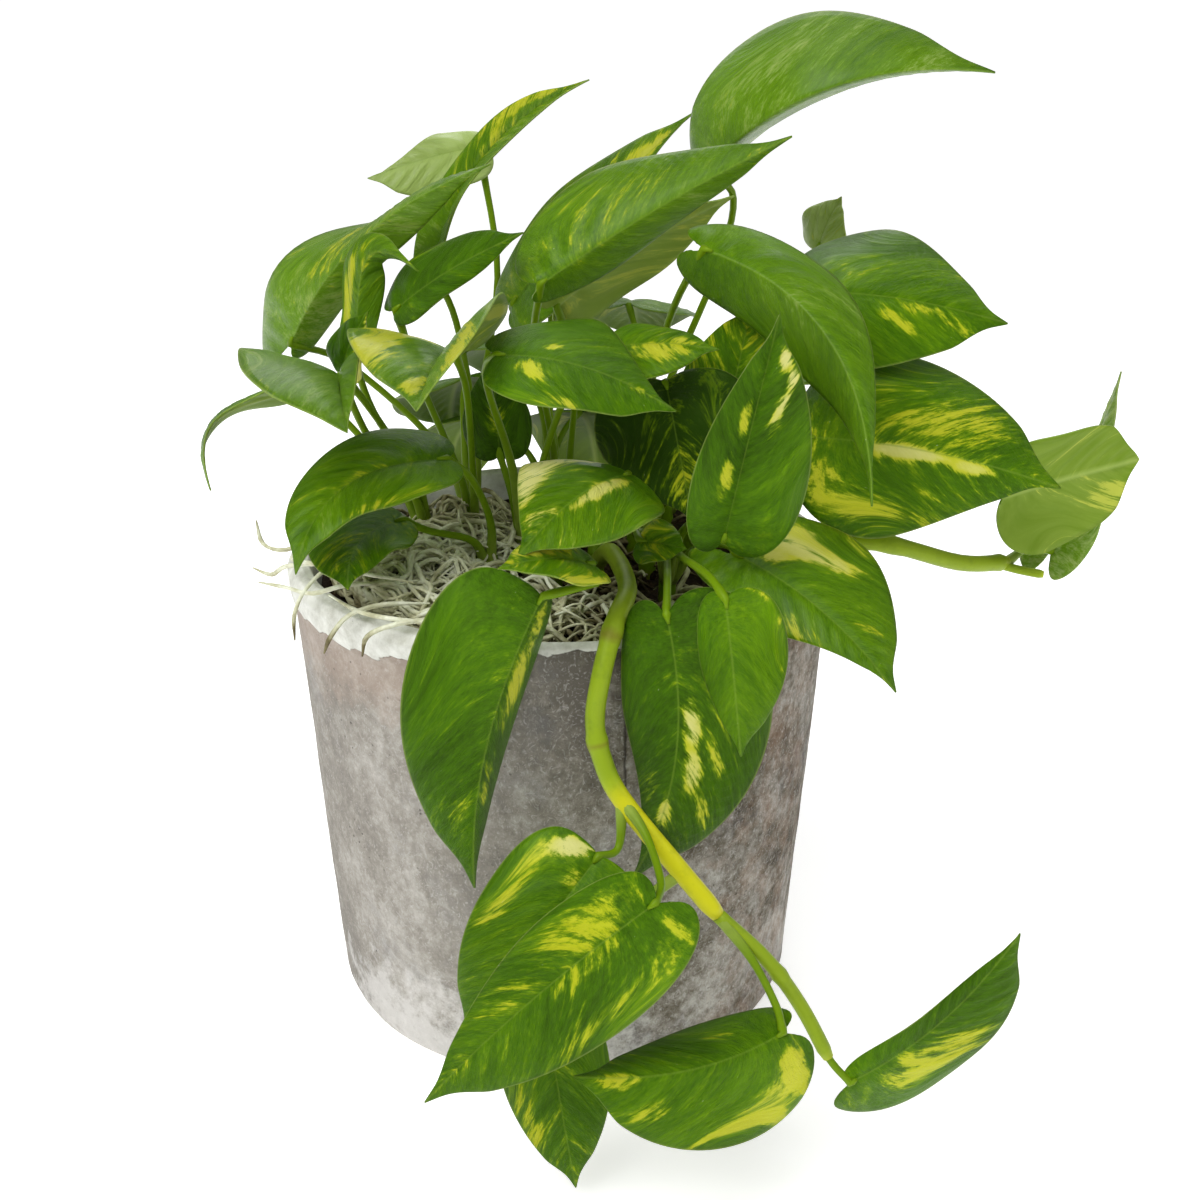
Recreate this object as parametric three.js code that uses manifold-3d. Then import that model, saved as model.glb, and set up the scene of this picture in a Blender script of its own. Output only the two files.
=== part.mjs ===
// A golden pothos in a round pot of aged cement, with pale moss on the soil and stems that
// trail over the rim. Millimetres, Z up, the pot's base centred on the origin.
import * as THREE from 'three';
import { mergeVertices } from 'three/addons/utils/BufferGeometryUtils.js';
import Module from 'manifold-3d';

const wasm = await Module();
wasm.setup();

// Sizes of the pot, soil, moss, stems and blades.
const POT_BASE_RADIUS = 84;
const POT_RIM_RADIUS = 95;
const POT_HEIGHT = 167.5;
const POT_WALL = 8.5;
const POT_FLOOR = 12;
const SOIL_TOP = 155;
const FIT_GAP = 0.35;
const MOSS_RADIUS = 83;
const ROOT_BOTTOM = 134;
const CROWN_TOP = 171;
const CROWN_RADIUS = 4;
const HOLE_GAP = 0.45;
const STALK_RADIUS = 1.5;
const BLADE_THICKNESS = 0.85;
const MARGIN_WAVE = 1.1;
const MARGIN_CURL = -25;
const LOBE = 0.07;
const FULLNESS = 0.3;

// Colour, roughness and metalness of each kind of piece.
const CEMENT = { color: 0xaaa59d, roughness: 0.88, metalness: 0 };
const EARTH = { color: 0x33261b, roughness: 0.96, metalness: 0 };
const PALE_MOSS = { color: 0xa39a80, roughness: 0.94, metalness: 0 };
const DARK_LEAF = { color: 0x3f7a2c, roughness: 0.42, metalness: 0 };
const BRIGHT_LEAF = { color: 0x5c9a34, roughness: 0.4, metalness: 0 };
const MARBLED_LEAF = { color: 0x84a845, roughness: 0.44, metalness: 0 };

// Where the cross lines of a blade leave the midrib, as a share of its length, for each part.
const VEIN_FEET = [[0, 0.02], [0.02, 0.12], [0.12, 1.0]];
const BLADE_ROWS = [0, 0.8, 1.5, 2.05, 2.35, 2.65, 3];
const BLADE_COLUMNS = [-1, -0.5, 0, 0.5, 1];

// Every leafy stem: its colour, where it stands, its trailing shoots if any, and its leaves.
// A leaf's base is where the stalk meets the blade, face is the way its upper side looks,
// halves are the widths left and right of the midrib, arch lifts the midrib towards the face,
// bow bends it sideways, skew moves both bends towards the tip, twist rolls the blade about it,
// folds turn up each half in degrees, lobes are how far each half reaches back past the notch,
// and fullness is how slowly each half narrows to the tip.
const STEMS = [
  {
    name: 'front_trailing_stem',
    finish: MARBLED_LEAF,
    crown: [12, -14],
    shoots: [
      { radius: 3, path: [
        [12, -14, 164], [17, -38, 177], [22, -72, 178], [18, -93, 175], [14, -102, 162],
        [12, -104, 148], [14, -107, 137], [20, -111, 125], [38, -118, 104], [49, -121, 91]] },
      { radius: 2.3, path: [[49, -121, 91], [64, -122, 76], [75, -123, 60], [84, -126, 43]] },
    ],
    leaves: [
      { base: [13, -122, 112], tip: [-27, -138, 58], face: [-0.2, -0.9, 0.4], halves: [19, 22],
        arch: 0.08, folds: [10, 10], lobes: [0.02, 0.02], fullness: [0.6, 0.6],
        stalk: [[20, -111, 125], [19, -117, 112]] },
      { base: [29, -146, 111], tip: [-37, -158, 52], face: [-0.15, -0.85, 0.5], halves: [23, 16],
        arch: 0.06, bow: 0.02, folds: [0, 12], lobes: [0.1, 0.03], fullness: [0.5, 0],
        stalk: [[20, -111, 125], [27, -120, 118], [31, -136, 112]] },
      { base: [-3, -128, 61], tip: [6, -140, 5], face: [0, -0.95, 0.4], halves: [17, 17],
        arch: 0.06, folds: [5, 5],
        stalk: [[38, -118, 104], [22, -118, 90], [6, -124, 76]] },
      { base: [68, -138, 61], tip: [6, -158, 61], face: [0, -0.85, 0.55], halves: [25, 19],
        arch: 0.06, bow: -0.07, folds: [0, -45], lobes: [0.14, 0.14], fullness: [0.6, 0.6],
        stalk: [[49, -121, 91], [59, -126, 79], [66, -134, 68]] },
      { base: [91, -128, 35], tip: [137, -132, 92], face: [0.25, -0.85, 0.4], halves: [6, 19],
        arch: 0.04, bow: 0.045, folds: [0, 0], lobes: [0, 0.16], fullness: [0.3, 0.8],
        stalk: [[75, -123, 60], [84, -126, 43]] },
    ],
  },
  {
    name: 'front_left_stem',
    finish: DARK_LEAF,
    crown: [-2, -30],
    leaves: [
      { base: [22, -68, 213], tip: [-10, -112, 202], face: [-0.1, -0.6, 0.8], halves: [20, 26],
        arch: 0.12, folds: [0, 0], fullness: [0.5, -0.2],
        stalk: [[2, -34, 182], [14, -50, 200]] },
      { base: [11, -95, 194], tip: [-15, -118, 201], face: [-0.1, -0.6, 0.8], halves: [10, 10],
        arch: 0.1, folds: [10, 10], lobes: [0.2, 0.2],
        stalk: [[2, -42, 180], [9, -72, 188]] },
      { base: [-3, -108, 189], tip: [-24, -120, 100], face: [0.1, -1, 0.3], halves: [21, 29],
        arch: 0.08, bow: 0.07, folds: [-55, 0], lobes: [0.02, 0.02], fullness: [0.2, 0.2],
        stalk: [[2, -48, 178], [12, -84, 185], [10, -99, 189]] },
    ],
  },
  {
    name: 'low_left_stem',
    finish: DARK_LEAF,
    crown: [-24, -22],
    leaves: [
      { base: [-35, -48, 212], tip: [-77, -88, 188], face: [-0.2, -0.6, 0.75], halves: [16, 17],
        arch: 0.1, bow: 0.17, skew: 0.1, folds: [10, 10], fullness: [0.4, 0.4],
        stalk: [[-23, -28, 184], [-28, -40, 203]] },
      { base: [-50, -46, 191], tip: [-63, -80, 180], face: [-0.1, -0.5, 0.85], halves: [12, 19],
        arch: 0.08, bow: 0.15, folds: [0, 5], fullness: [0.5, 0.5],
        stalk: [[-29, -30, 178], [-42, -40, 185]] },
    ],
  },
  {
    name: 'far_left_stem',
    finish: DARK_LEAF,
    crown: [-46, -4],
    leaves: [
      { base: [-68, -18, 241], tip: [-43, -33, 268], face: [-0.2, -0.8, 0.5], halves: [11, 8],
        arch: 0.05, bow: -0.36, skew: 0.8, folds: [0, -40], fullness: [0.3, 0.3],
        stalk: [[-49, -5, 190], [-63, -7, 216]] },
      { base: [-69, -30, 235], tip: [-59, -36, 256], face: [-0.3, -0.8, 0.5], halves: [8, 8],
        arch: 0.1, folds: [10, 10],
        stalk: [[-48, -9, 188], [-58, -20, 214]] },
      { base: [-69, -36, 236], tip: [-59, -89, 232], face: [-0.1, -0.25, 1], halves: [11, 31],
        arch: 0.1, folds: [55, 36], lobes: [0.07, 0.42], fullness: [0.3, 1.2],
        stalk: [[-50, -12, 188], [-62, -26, 212]] },
      { base: [-87, 2, 223], tip: [-116, -25, 194], face: [-0.75, 0.05, 0.65], halves: [15, 15],
        arch: 0.27, skew: 0.6, folds: [10, 10],
        stalk: [[-54, -5, 186], [-70, -3, 208]] },
    ],
  },
  {
    name: 'upper_left_stem',
    finish: MARBLED_LEAF,
    crown: [-30, -2],
    leaves: [
      { base: [-91, 0, 238], tip: [-21, -12, 298], face: [-0.45, -0.65, 0.55], halves: [34, 12],
        arch: 0.1, bow: -0.05, twist: 40, folds: [5, -80], lobes: [0.2, 0.07], fullness: [0.5, 0.5],
        stalk: [[-42, 12, 196], [-74, 18, 226]] },
      { base: [-52, -22, 254], tip: [-10, -34, 280], face: [-0.35, -0.7, 0.6], halves: [15, 8],
        arch: 0.06, folds: [0, 0], lobes: [0.13, 0.05],
        stalk: [[-34, -4, 190], [-46, -10, 226]] },
      { base: [-32, -35, 242], tip: [-39, -88, 238], face: [-0.1, -0.3, 1], halves: [26, 30],
        arch: 0.1, folds: [55, 32], lobes: [0.35, 0.18], fullness: [1.2, 0.5],
        stalk: [[-30, -8, 192], [-30, -22, 226]] },
    ],
  },
  {
    name: 'back_left_stem',
    finish: BRIGHT_LEAF,
    crown: [-34, 22],
    leaves: [
      { base: [-45, 25, 258], tip: [10, 10, 322], face: [-0.5, -0.6, 0.6], halves: [9, 13],
        arch: 0.06, bow: -0.12, folds: [40, 40],
        stalk: [[-31, 22, 200], [-37, 25, 240]] },
      { base: [-30, 62, 296], tip: [-69, 50, 286], face: [-0.2, -0.8, 0.5], halves: [14, 10],
        arch: 0.05, folds: [0, 0], lobes: [0.1, 0.1], fullness: [1, -1],
        stalk: [[-32, 36, 200], [-24, 54, 250]] },
      { base: [-36, 50, 214], tip: [-48, 104, 178], face: [-0.3, 0.6, 0.8], halves: [27, 27],
        arch: 0.1, folds: [5, 5],
        stalk: [[-36, 32, 188], [-37, 42, 206]] },
    ],
  },
  {
    name: 'centre_stem',
    finish: DARK_LEAF,
    crown: [-12, -10],
    leaves: [
      { base: [-17, -60, 248], tip: [35, -92, 239], face: [0.1, -0.6, 0.8], halves: [25, 16],
        arch: 0.06, bow: -0.04, folds: [0, 0], lobes: [0.16, 0.04], fullness: [-0.8, 1],
        stalk: [[-16, -18, 200], [-22, -38, 232], [-21, -50, 243]] },
      { base: [14, -40, 245], tip: [49, -62, 250], face: [0, -0.7, 0.7], halves: [8, 15],
        arch: 0.08, folds: [5, 5],
        stalk: [[-8, -14, 192], [2, -28, 226]] },
      { base: [-21, -3, 200], tip: [-23, 4, 232], face: [-0.1, -0.9, 0.3], halves: [12, 12],
        arch: 0.06, folds: [10, 10],
        stalk: [[-17, -6, 186]] },
    ],
  },
  {
    name: 'tall_centre_stem',
    finish: BRIGHT_LEAF,
    crown: [0, 14],
    leaves: [
      { base: [-5, -32, 264], tip: [72, -28, 308], face: [-0.25, -0.7, 0.65], halves: [26, 12],
        arch: 0.04, folds: [8, -68], fullness: [-0.2, 0.3],
        stalk: [[-3, 8, 200], [-8, -14, 240]] },
      { base: [-1, -5, 252], tip: [57, -3, 287], face: [-0.2, 0.7, 0.7], halves: [20, 14],
        arch: 0.05, folds: [10, 10],
        stalk: [[3, 12, 196], [5, 2, 228]] },
      { base: [-17, 24, 247], tip: [45, 21, 311], face: [-0.5, -0.6, 0.6], halves: [19, 20],
        arch: 0.04, folds: [10, 10], fullness: [0.3, -1],
        stalk: [[-3, 18, 200], [-9, 22, 230]] },
    ],
  },
  {
    name: 'tall_right_stem',
    finish: BRIGHT_LEAF,
    crown: [26, 14],
    leaves: [
      { base: [48, 0, 294], tip: [134, -20, 326], face: [0.04, -0.9, -0.39], halves: [33, 35],
        arch: 0.1, bow: -0.2, folds: [-56, -48],
        stalk: [[34, 20, 208], [53, 24, 256], [58, 12, 284]] },
      { base: [45, -45, 277], tip: [90, -105, 215], face: [0.3, -0.75, 0.6], halves: [23, 22],
        arch: 0.12, bow: -0.115, folds: [0, -75], lobes: [0.12, 0.12], fullness: [-1, 0],
        stalk: [[28, 4, 206], [36, -18, 250]] },
    ],
  },
  {
    name: 'right_stem',
    finish: MARBLED_LEAF,
    crown: [46, 6],
    leaves: [
      { base: [77, -10, 257], tip: [140, -40, 253], face: [0.05, -0.75, 0.65], halves: [31, 26],
        arch: 0.08, folds: [0, 0], lobes: [0.12, 0.12], fullness: [0, 0.5],
        stalk: [[52, 2, 196], [66, -4, 236]] },
      { base: [89, 27, 265], tip: [96, 25, 283], face: [-0.5, -0.5, 0.5], halves: [12, 11],
        arch: 0.08, folds: [10, 10],
        stalk: [[56, 14, 198], [74, 24, 236]] },
      { base: [79, -44, 218], tip: [156, -60, 206], face: [0, -0.75, 0.65], halves: [33, 31],
        arch: 0.09, folds: [8, -25], fullness: [0.5, -0.3],
        stalk: [[54, -8, 186], [70, -28, 208]] },
      { base: [147, -28, 193], tip: [195, -15, 202], face: [-0.1, 0.95, 0.1], halves: [24, 18],
        arch: 0.02, folds: [5, 5], fullness: [1, 1.7],
        stalk: [[58, 0, 184], [90, -12, 206], [124, -24, 206]] },
    ],
  },
  {
    name: 'right_trailing_stem',
    finish: BRIGHT_LEAF,
    crown: [54, -22],
    shoots: [
      { radius: 2.8, path: [
        [54, -22, 164], [72, -32, 178], [104, -40, 181],
        [134, -29, 170], [153, -18, 166]] },
      { radius: 1.5, path: [[148, -20, 166.5], [157, -20, 164], [165, -22, 163]] },
    ],
    leaves: [
      { base: [172, -4, 165], tip: [195, 14, 225], face: [-0.5, -0.8, 0.2], halves: [15, 13],
        arch: -0.04, twist: 65, folds: [0, 0], lobes: [0.15, 0.15],
        stalk: [[153, -18, 166], [161, -11, 168]] },
    ],
  },
  {
    name: 'front_right_stem',
    finish: BRIGHT_LEAF,
    crown: [36, -34],
    leaves: [
      { base: [50, -88, 199], tip: [63, -94, 267], face: [-0.1, -0.95, 0.35], halves: [14, 20],
        arch: 0.04, folds: [35, 5], fullness: [0, 0.4],
        stalk: [[40, -44, 186], [46, -68, 198]] },
      { base: [55, -76, 190], tip: [99, -113, 161], face: [0.2, -0.75, 0.65], halves: [31, 16],
        arch: 0.06, bow: -0.04, folds: [0, 0], lobes: [0.14, 0.24], fullness: [0.2, -0.5],
        stalk: [[45, -42, 180], [53, -62, 188]] },
      { base: [49, -113, 190], tip: [54, -122, 145], face: [0, -1, 0.3], halves: [17, 12],
        arch: 0.08, folds: [0, -30],
        stalk: [[37, -48, 180], [40, -82, 190], [45, -103, 193]] },
      { base: [33, -100, 180], tip: [23, -106, 94], face: [0.05, -1, 0.25], halves: [29, 19.5],
        arch: 0.07, bow: -0.09, folds: [5, -20], fullness: [0.3, -0.5],
        stalk: [[35, -48, 178], [34, -78, 184]] },
      { base: [26, -66, 191], tip: [40, -74, 191], face: [0, -0.7, 0.7], halves: [8, 8],
        arch: 0.06, folds: [10, 10],
        stalk: [[32, -46, 182], [25, -56, 191]] },
    ],
  },
  {
    name: 'inner_stem',
    finish: DARK_LEAF,
    crown: [30, -8],
    leaves: [
      { base: [53, -36, 218], tip: [61, -36, 259], face: [0, -0.9, 0.4], halves: [17, 20],
        arch: 0.06, folds: [10, 10],
        stalk: [[34, -14, 184], [42, -30, 197]] },
      { base: [34, -46, 236], tip: [42, -68, 198], face: [-0.1, -0.9, 0.4], halves: [25, 25],
        arch: 0.06, folds: [10, 10],
        stalk: [[30, -14, 196], [27, -32, 226]] },
    ],
  },
  {
    name: 'back_centre_stem',
    finish: DARK_LEAF,
    crown: [-6, 42],
    leaves: [
      { base: [-13, 56, 226], tip: [-22, 116, 192], face: [-0.1, 0.6, 0.8], halves: [29, 29],
        arch: 0.12, folds: [5, 5],
        stalk: [[-7, 48, 194], [-12, 53, 214]] },
      { base: [6, 68, 196], tip: [14, 118, 130], face: [0.1, 0.9, 0.4], halves: [25, 25],
        arch: 0.16, folds: [10, 10],
        stalk: [[-4, 52, 182], [0, 60, 191]] },
      { base: [-30, 66, 196], tip: [-52, 114, 134], face: [-0.4, 0.8, 0.4], halves: [23, 23],
        arch: 0.18, folds: [5, 5],
        stalk: [[-12, 50, 182], [-22, 58, 191]] },
      { base: [-4, 42, 244], tip: [6, 78, 262], face: [-0.3, 0.3, 0.9], halves: [22, 22],
        arch: 0.08, folds: [10, 10],
        stalk: [[-5, 44, 200]] },
    ],
  },
  {
    name: 'back_right_stem',
    finish: BRIGHT_LEAF,
    crown: [38, 36],
    leaves: [
      { base: [24, 56, 240], tip: [28, 116, 212], face: [0.1, 0.6, 0.8], halves: [26, 26],
        arch: 0.12, folds: [5, 5],
        stalk: [[35, 44, 196], [28, 52, 226]] },
      { base: [50, 54, 222], tip: [76, 106, 190], face: [0.4, 0.5, 0.8], halves: [25, 25],
        arch: 0.1, folds: [5, 5],
        stalk: [[43, 44, 190], [48, 50, 211]] },
      { base: [46, 66, 195], tip: [66, 112, 138], face: [0.4, 0.8, 0.4], halves: [24, 24],
        arch: 0.16, folds: [5, 5],
        stalk: [[40, 46, 182], [44, 58, 189]] },
      { base: [74, 42, 220], tip: [120, 50, 202], face: [0.3, 0.1, 0.9], halves: [22, 22],
        arch: 0.1, folds: [5, 5],
        stalk: [[50, 38, 190], [64, 40, 210]] },
    ],
  },
];

// Small shared geometry helpers.
function vector(triple) {
  return new THREE.Vector3(triple[0], triple[1], triple[2]);
}

function toSolid(geometry) {
  geometry.deleteAttribute('normal');
  geometry.deleteAttribute('uv');
  const merged = mergeVertices(geometry, 1e-4);
  const mesh = new wasm.Mesh({
    numProp: 3,
    vertProperties: new Float32Array(merged.attributes.position.array),
    triVerts: new Uint32Array(merged.index.array),
  });
  return new wasm.Manifold(mesh);
}

function toGeometry(solid) {
  const mesh = solid.getMesh();
  const geometry = new THREE.BufferGeometry();
  geometry.setAttribute('position', new THREE.BufferAttribute(new Float32Array(mesh.vertProperties), 3));
  geometry.setIndex(new THREE.BufferAttribute(new Uint32Array(mesh.triVerts), 1));
  return geometry;
}

function turnedSolid(profile, segments) {
  const points = profile.map(([radius, height]) => new THREE.Vector2(radius, height));
  const geometry = new THREE.LatheGeometry(points, segments);
  geometry.rotateX(Math.PI / 2);
  return toSolid(geometry);
}

function post(centre, radius, bottom, top, sides) {
  const geometry = new THREE.CylinderGeometry(radius, radius, top - bottom, sides);
  geometry.rotateX(Math.PI / 2);
  geometry.translate(centre[0], centre[1], (bottom + top) / 2);
  return toSolid(geometry);
}

function rod(points, radius, sides, steps) {
  const curve = new THREE.CatmullRomCurve3(points.map(vector), false, 'catmullrom', 0.5);
  const ring = new THREE.Shape();
  for (let i = 0; i < sides; i += 1) {
    const angle = (2 * Math.PI * i) / sides;
    const x = radius * Math.cos(angle);
    const y = radius * Math.sin(angle);
    if (i === 0) {
      ring.moveTo(x, y);
    } else {
      ring.lineTo(x, y);
    }
  }
  ring.closePath();
  const geometry = new THREE.ExtrudeGeometry(ring, {
    steps,
    bevelEnabled: false,
    curveSegments: 1,
    extrudePath: curve,
  });
  return toSolid(geometry);
}

// Half of a heart shaped leaf, from the notch round the lobe and shoulder to the long tip.
// First number: share of the half width. Second: share of the length along the midrib.
function halfOutline(lobe, fullness) {
  const shoulder = [0.45, -0.87 * lobe];
  return [
    [[0.10, -0.43 * lobe], [0.18, -0.87 * lobe], [0.32, -lobe], shoulder],
    [shoulder, [0.78, -0.6 * lobe], [1.00, 0.08], [1.00, 0.28]],
    [[1.00, 0.28], [1.00, 0.56 + 0.14 * fullness], [0.30 + 0.35 * fullness, 0.80 + 0.06 * fullness],
      [0.012, 1.00]],
  ];
}

// The blade of a leaf.
function outlineAt(row, outline) {
  const part = Math.min(2, Math.floor(row));
  const t = row - part;
  const s = 1 - t;
  const weights = [s * s * s, 3 * s * s * t, 3 * s * t * t, t * t * t];
  const point = [0, 0];
  weights.forEach((weight, i) => {
    point[0] += weight * outline[part][i][0];
    point[1] += weight * outline[part][i][1];
  });
  const [from, to] = VEIN_FEET[part];
  const ease = part === 2 ? Math.pow(t, 0.92) : t;
  return { x: point[0], y: point[1], foot: from + (to - from) * ease };
}

function leafFrame(leaf) {
  const base = vector(leaf.base);
  const chord = vector(leaf.tip).sub(base);
  const length = chord.length();
  const along = chord.clone().normalize();
  const face = vector(leaf.face);
  face.addScaledVector(along, -face.dot(along)).normalize();
  const side = new THREE.Vector3().crossVectors(along, face);
  const arch = leaf.arch * length;
  const bow = (leaf.bow || 0) * length;
  const skew = leaf.skew || 0;
  const midrib = (t) => {
    const lift = 4 * t * (1 - t) * (1 + skew * (2 * t - 1));
    return base.clone().addScaledVector(chord, t).addScaledVector(face, arch * lift)
      .addScaledVector(side, bow * lift);
  };
  const lobes = leaf.lobes || [LOBE, LOBE];
  const fullness = leaf.fullness || [FULLNESS, FULLNESS];
  const outlines = lobes.map((lobe, half) => halfOutline(lobe, fullness[half]));
  return { base, length, face, midrib, outlines };
}

function bladePoint(leaf, frame, row, column) {
  const share = Math.abs(column);
  const handed = column < 0 ? -1 : 1;
  const half = handed < 0 ? 0 : 1;
  const edge = outlineAt(row, frame.outlines[half]);
  const t = edge.foot + (edge.y - edge.foot) * share;
  const clamped = Math.min(1, Math.max(0, t));
  const step = 0.001;
  const ahead = frame.midrib(Math.min(1, clamped + step));
  const behind = frame.midrib(Math.max(0, clamped - step));
  const tangent = ahead.sub(behind).normalize();
  const centre = frame.midrib(clamped);
  if (t < 0) {
    centre.addScaledVector(tangent, t * frame.length);
  }
  const roll = THREE.MathUtils.degToRad((leaf.twist || 0) * THREE.MathUtils.smoothstep(clamped, 0, 0.6));
  const across = new THREE.Vector3().crossVectors(tangent, frame.face).normalize();
  across.applyAxisAngle(tangent, -roll);
  const normal = new THREE.Vector3().crossVectors(across, tangent);
  const fold = THREE.MathUtils.degToRad(leaf.folds[half]);
  const curl = THREE.MathUtils.degToRad(MARGIN_CURL);
  const reach = edge.x * leaf.halves[half];
  const out = (reach * (Math.sin(fold + curl * share) - Math.sin(fold))) / curl;
  const up = (reach * (Math.cos(fold) - Math.cos(fold + curl * share))) / curl;
  const wave = MARGIN_WAVE * share * share * Math.sin(9 * t + 2 * handed + leaf.halves[0]);
  return centre.addScaledVector(across, handed * out).addScaledVector(normal, up + wave * edge.x);
}

function offsetNormal(grid, i, j) {
  const rows = grid.length;
  const columns = grid[0].length;
  const before = grid[Math.max(0, i - 1)][j];
  const after = grid[Math.min(rows - 1, i + 1)][j];
  const forward = after.clone().sub(before);
  const sum = new THREE.Vector3();
  const parts = [];
  if (j > 0) {
    parts.push(new THREE.Vector3().crossVectors(grid[i][j].clone().sub(grid[i][j - 1]), forward).normalize());
  }
  if (j < columns - 1) {
    parts.push(new THREE.Vector3().crossVectors(grid[i][j + 1].clone().sub(grid[i][j]), forward).normalize());
  }
  parts.forEach((part) => sum.add(part));
  sum.normalize();
  const mitre = Math.min(1.6, 1 / Math.max(0.3, sum.dot(parts[0])));
  return sum.multiplyScalar(mitre);
}

function blade(leaf) {
  const frame = leafFrame(leaf);
  const rows = BLADE_ROWS.slice(0, -1);
  const grid = rows.map((row) => BLADE_COLUMNS.map((column) => bladePoint(leaf, frame, row, column)));
  const tip = bladePoint(leaf, frame, 3, 0);
  const columns = BLADE_COLUMNS.length;
  const half = BLADE_THICKNESS / 2;
  const points = [];
  [half, -half].forEach((offset) => {
    grid.forEach((line, i) => {
      line.forEach((point, j) => {
        points.push(point.clone().addScaledVector(offsetNormal(grid, i, j), offset));
      });
    });
    const tipNormal = offsetNormal(grid, grid.length - 1, 2);
    points.push(tip.clone().addScaledVector(tipNormal, offset));
  });
  const layer = rows.length * columns + 1;
  const index = [];
  const at = (i, j) => i * columns + j;
  const quad = (a, b, c, d) => index.push(a, b, c, a, c, d);
  for (let i = 0; i < rows.length - 1; i += 1) {
    for (let j = 0; j < columns - 1; j += 1) {
      index.push(at(i, j), at(i, j + 1), at(i + 1, j + 1), at(i, j), at(i + 1, j + 1), at(i + 1, j));
      index.push(layer + at(i, j), layer + at(i + 1, j + 1), layer + at(i, j + 1));
      index.push(layer + at(i, j), layer + at(i + 1, j), layer + at(i + 1, j + 1));
    }
  }
  const last = rows.length - 1;
  const tipIndex = layer - 1;
  for (let j = 0; j < columns - 1; j += 1) {
    index.push(at(last, j), at(last, j + 1), tipIndex);
    index.push(layer + at(last, j), layer + tipIndex, layer + at(last, j + 1));
    quad(at(0, j), layer + at(0, j), layer + at(0, j + 1), at(0, j + 1));
  }
  for (let i = 0; i < last; i += 1) {
    quad(at(i, 0), at(i + 1, 0), layer + at(i + 1, 0), layer + at(i, 0));
    const right = columns - 1;
    quad(at(i, right), layer + at(i, right), layer + at(i + 1, right), at(i + 1, right));
  }
  quad(at(last, 0), tipIndex, layer + tipIndex, layer + at(last, 0));
  quad(at(last, columns - 1), layer + at(last, columns - 1), layer + tipIndex, tipIndex);
  const geometry = new THREE.BufferGeometry();
  const flat = points.flatMap((point) => [point.x, point.y, point.z]);
  geometry.setAttribute('position', new THREE.BufferAttribute(new Float32Array(flat), 3));
  geometry.setIndex(index);
  return toSolid(geometry);
}

// One leafy stem: the crown's stub in the soil, shoots, and a stalk and blade for each leaf.
function leafyStem(stem) {
  let solid = post(stem.crown, CROWN_RADIUS, ROOT_BOTTOM + HOLE_GAP, CROWN_TOP, 6);
  (stem.shoots || []).forEach((shoot) => {
    solid = solid.add(rod(shoot.path, shoot.radius, 6, Math.round(shoot.path.length * 1.4)));
  });
  stem.leaves.forEach((leaf) => {
    const frame = leafFrame(leaf);
    const lead = vector(leaf.stalk[0]).sub(new THREE.Vector3(...stem.crown, leaf.stalk[0][2])).setLength(1.8);
    const foot = [stem.crown[0] + lead.x, stem.crown[1] + lead.y, CROWN_TOP - 5];
    const start = stem.shoots ? [] : [foot];
    const inside = frame.midrib(2.5 / frame.length);
    const points = [...start, ...leaf.stalk, leaf.base, [inside.x, inside.y, inside.z]];
    solid = solid.add(rod(points, STALK_RADIUS, 5, points.length)).add(blade(leaf));
  });
  return solid;
}

// The pot: a turned shell with a rounded foot and a rounded, slightly proud rim band.
function pot() {
  const rim = POT_RIM_RADIUS;
  const inner = rim - POT_WALL;
  return turnedSolid([
    [0, 0],
    [POT_BASE_RADIUS - 5, 0],
    [POT_BASE_RADIUS - 1.3, 1.8],
    [POT_BASE_RADIUS + 0.3, 6],
    [rim - 1.1, 155.5],
    [rim, 156.7],
    [rim + 0.2, 163],
    [rim - 1.5, 166.4],
    [rim - 4.2, POT_HEIGHT],
    [inner + 1.2, 166.2],
    [inner, 162.5],
    [inner - 1, 150],
    [77, POT_FLOOR + 5],
    [74, POT_FLOOR],
    [0, POT_FLOOR],
  ], 56);
}

// The soil fills the pot to below the rim, with a plain hole for the foot of each stem.
function soil() {
  const inner = POT_RIM_RADIUS - POT_WALL;
  let solid = turnedSolid([
    [0, POT_FLOOR + FIT_GAP],
    [74 - FIT_GAP, POT_FLOOR + FIT_GAP],
    [77 - FIT_GAP, POT_FLOOR + 5.2],
    [inner - 1.2 - FIT_GAP, 150],
    [inner - 1 - FIT_GAP, SOIL_TOP - 1],
    [inner - 3, SOIL_TOP],
    [0, SOIL_TOP],
  ], 40);
  STEMS.forEach((stem) => {
    solid = solid.subtract(post(stem.crown, CROWN_RADIUS + HOLE_GAP, ROOT_BOTTOM, SOIL_TOP + 5, 6));
  });
  return solid;
}

// The moss: a low bumpy mat over the soil, higher to the left, with curled strands on it.
function mossHeight(x, y) {
  const mound = 4.5 * Math.exp(-((x + 44) ** 2 + (y + 30) ** 2) / 900);
  const second = 3 * Math.exp(-((x - 4) ** 2 + (y + 62) ** 2) / 500);
  const ripple = 0.9 * Math.sin(0.23 * x + 0.11 * y) + 0.8 * Math.sin(0.19 * y - 0.07 * x + 1);
  return SOIL_TOP + FIT_GAP + 4 + mound + second + ripple;
}

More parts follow.
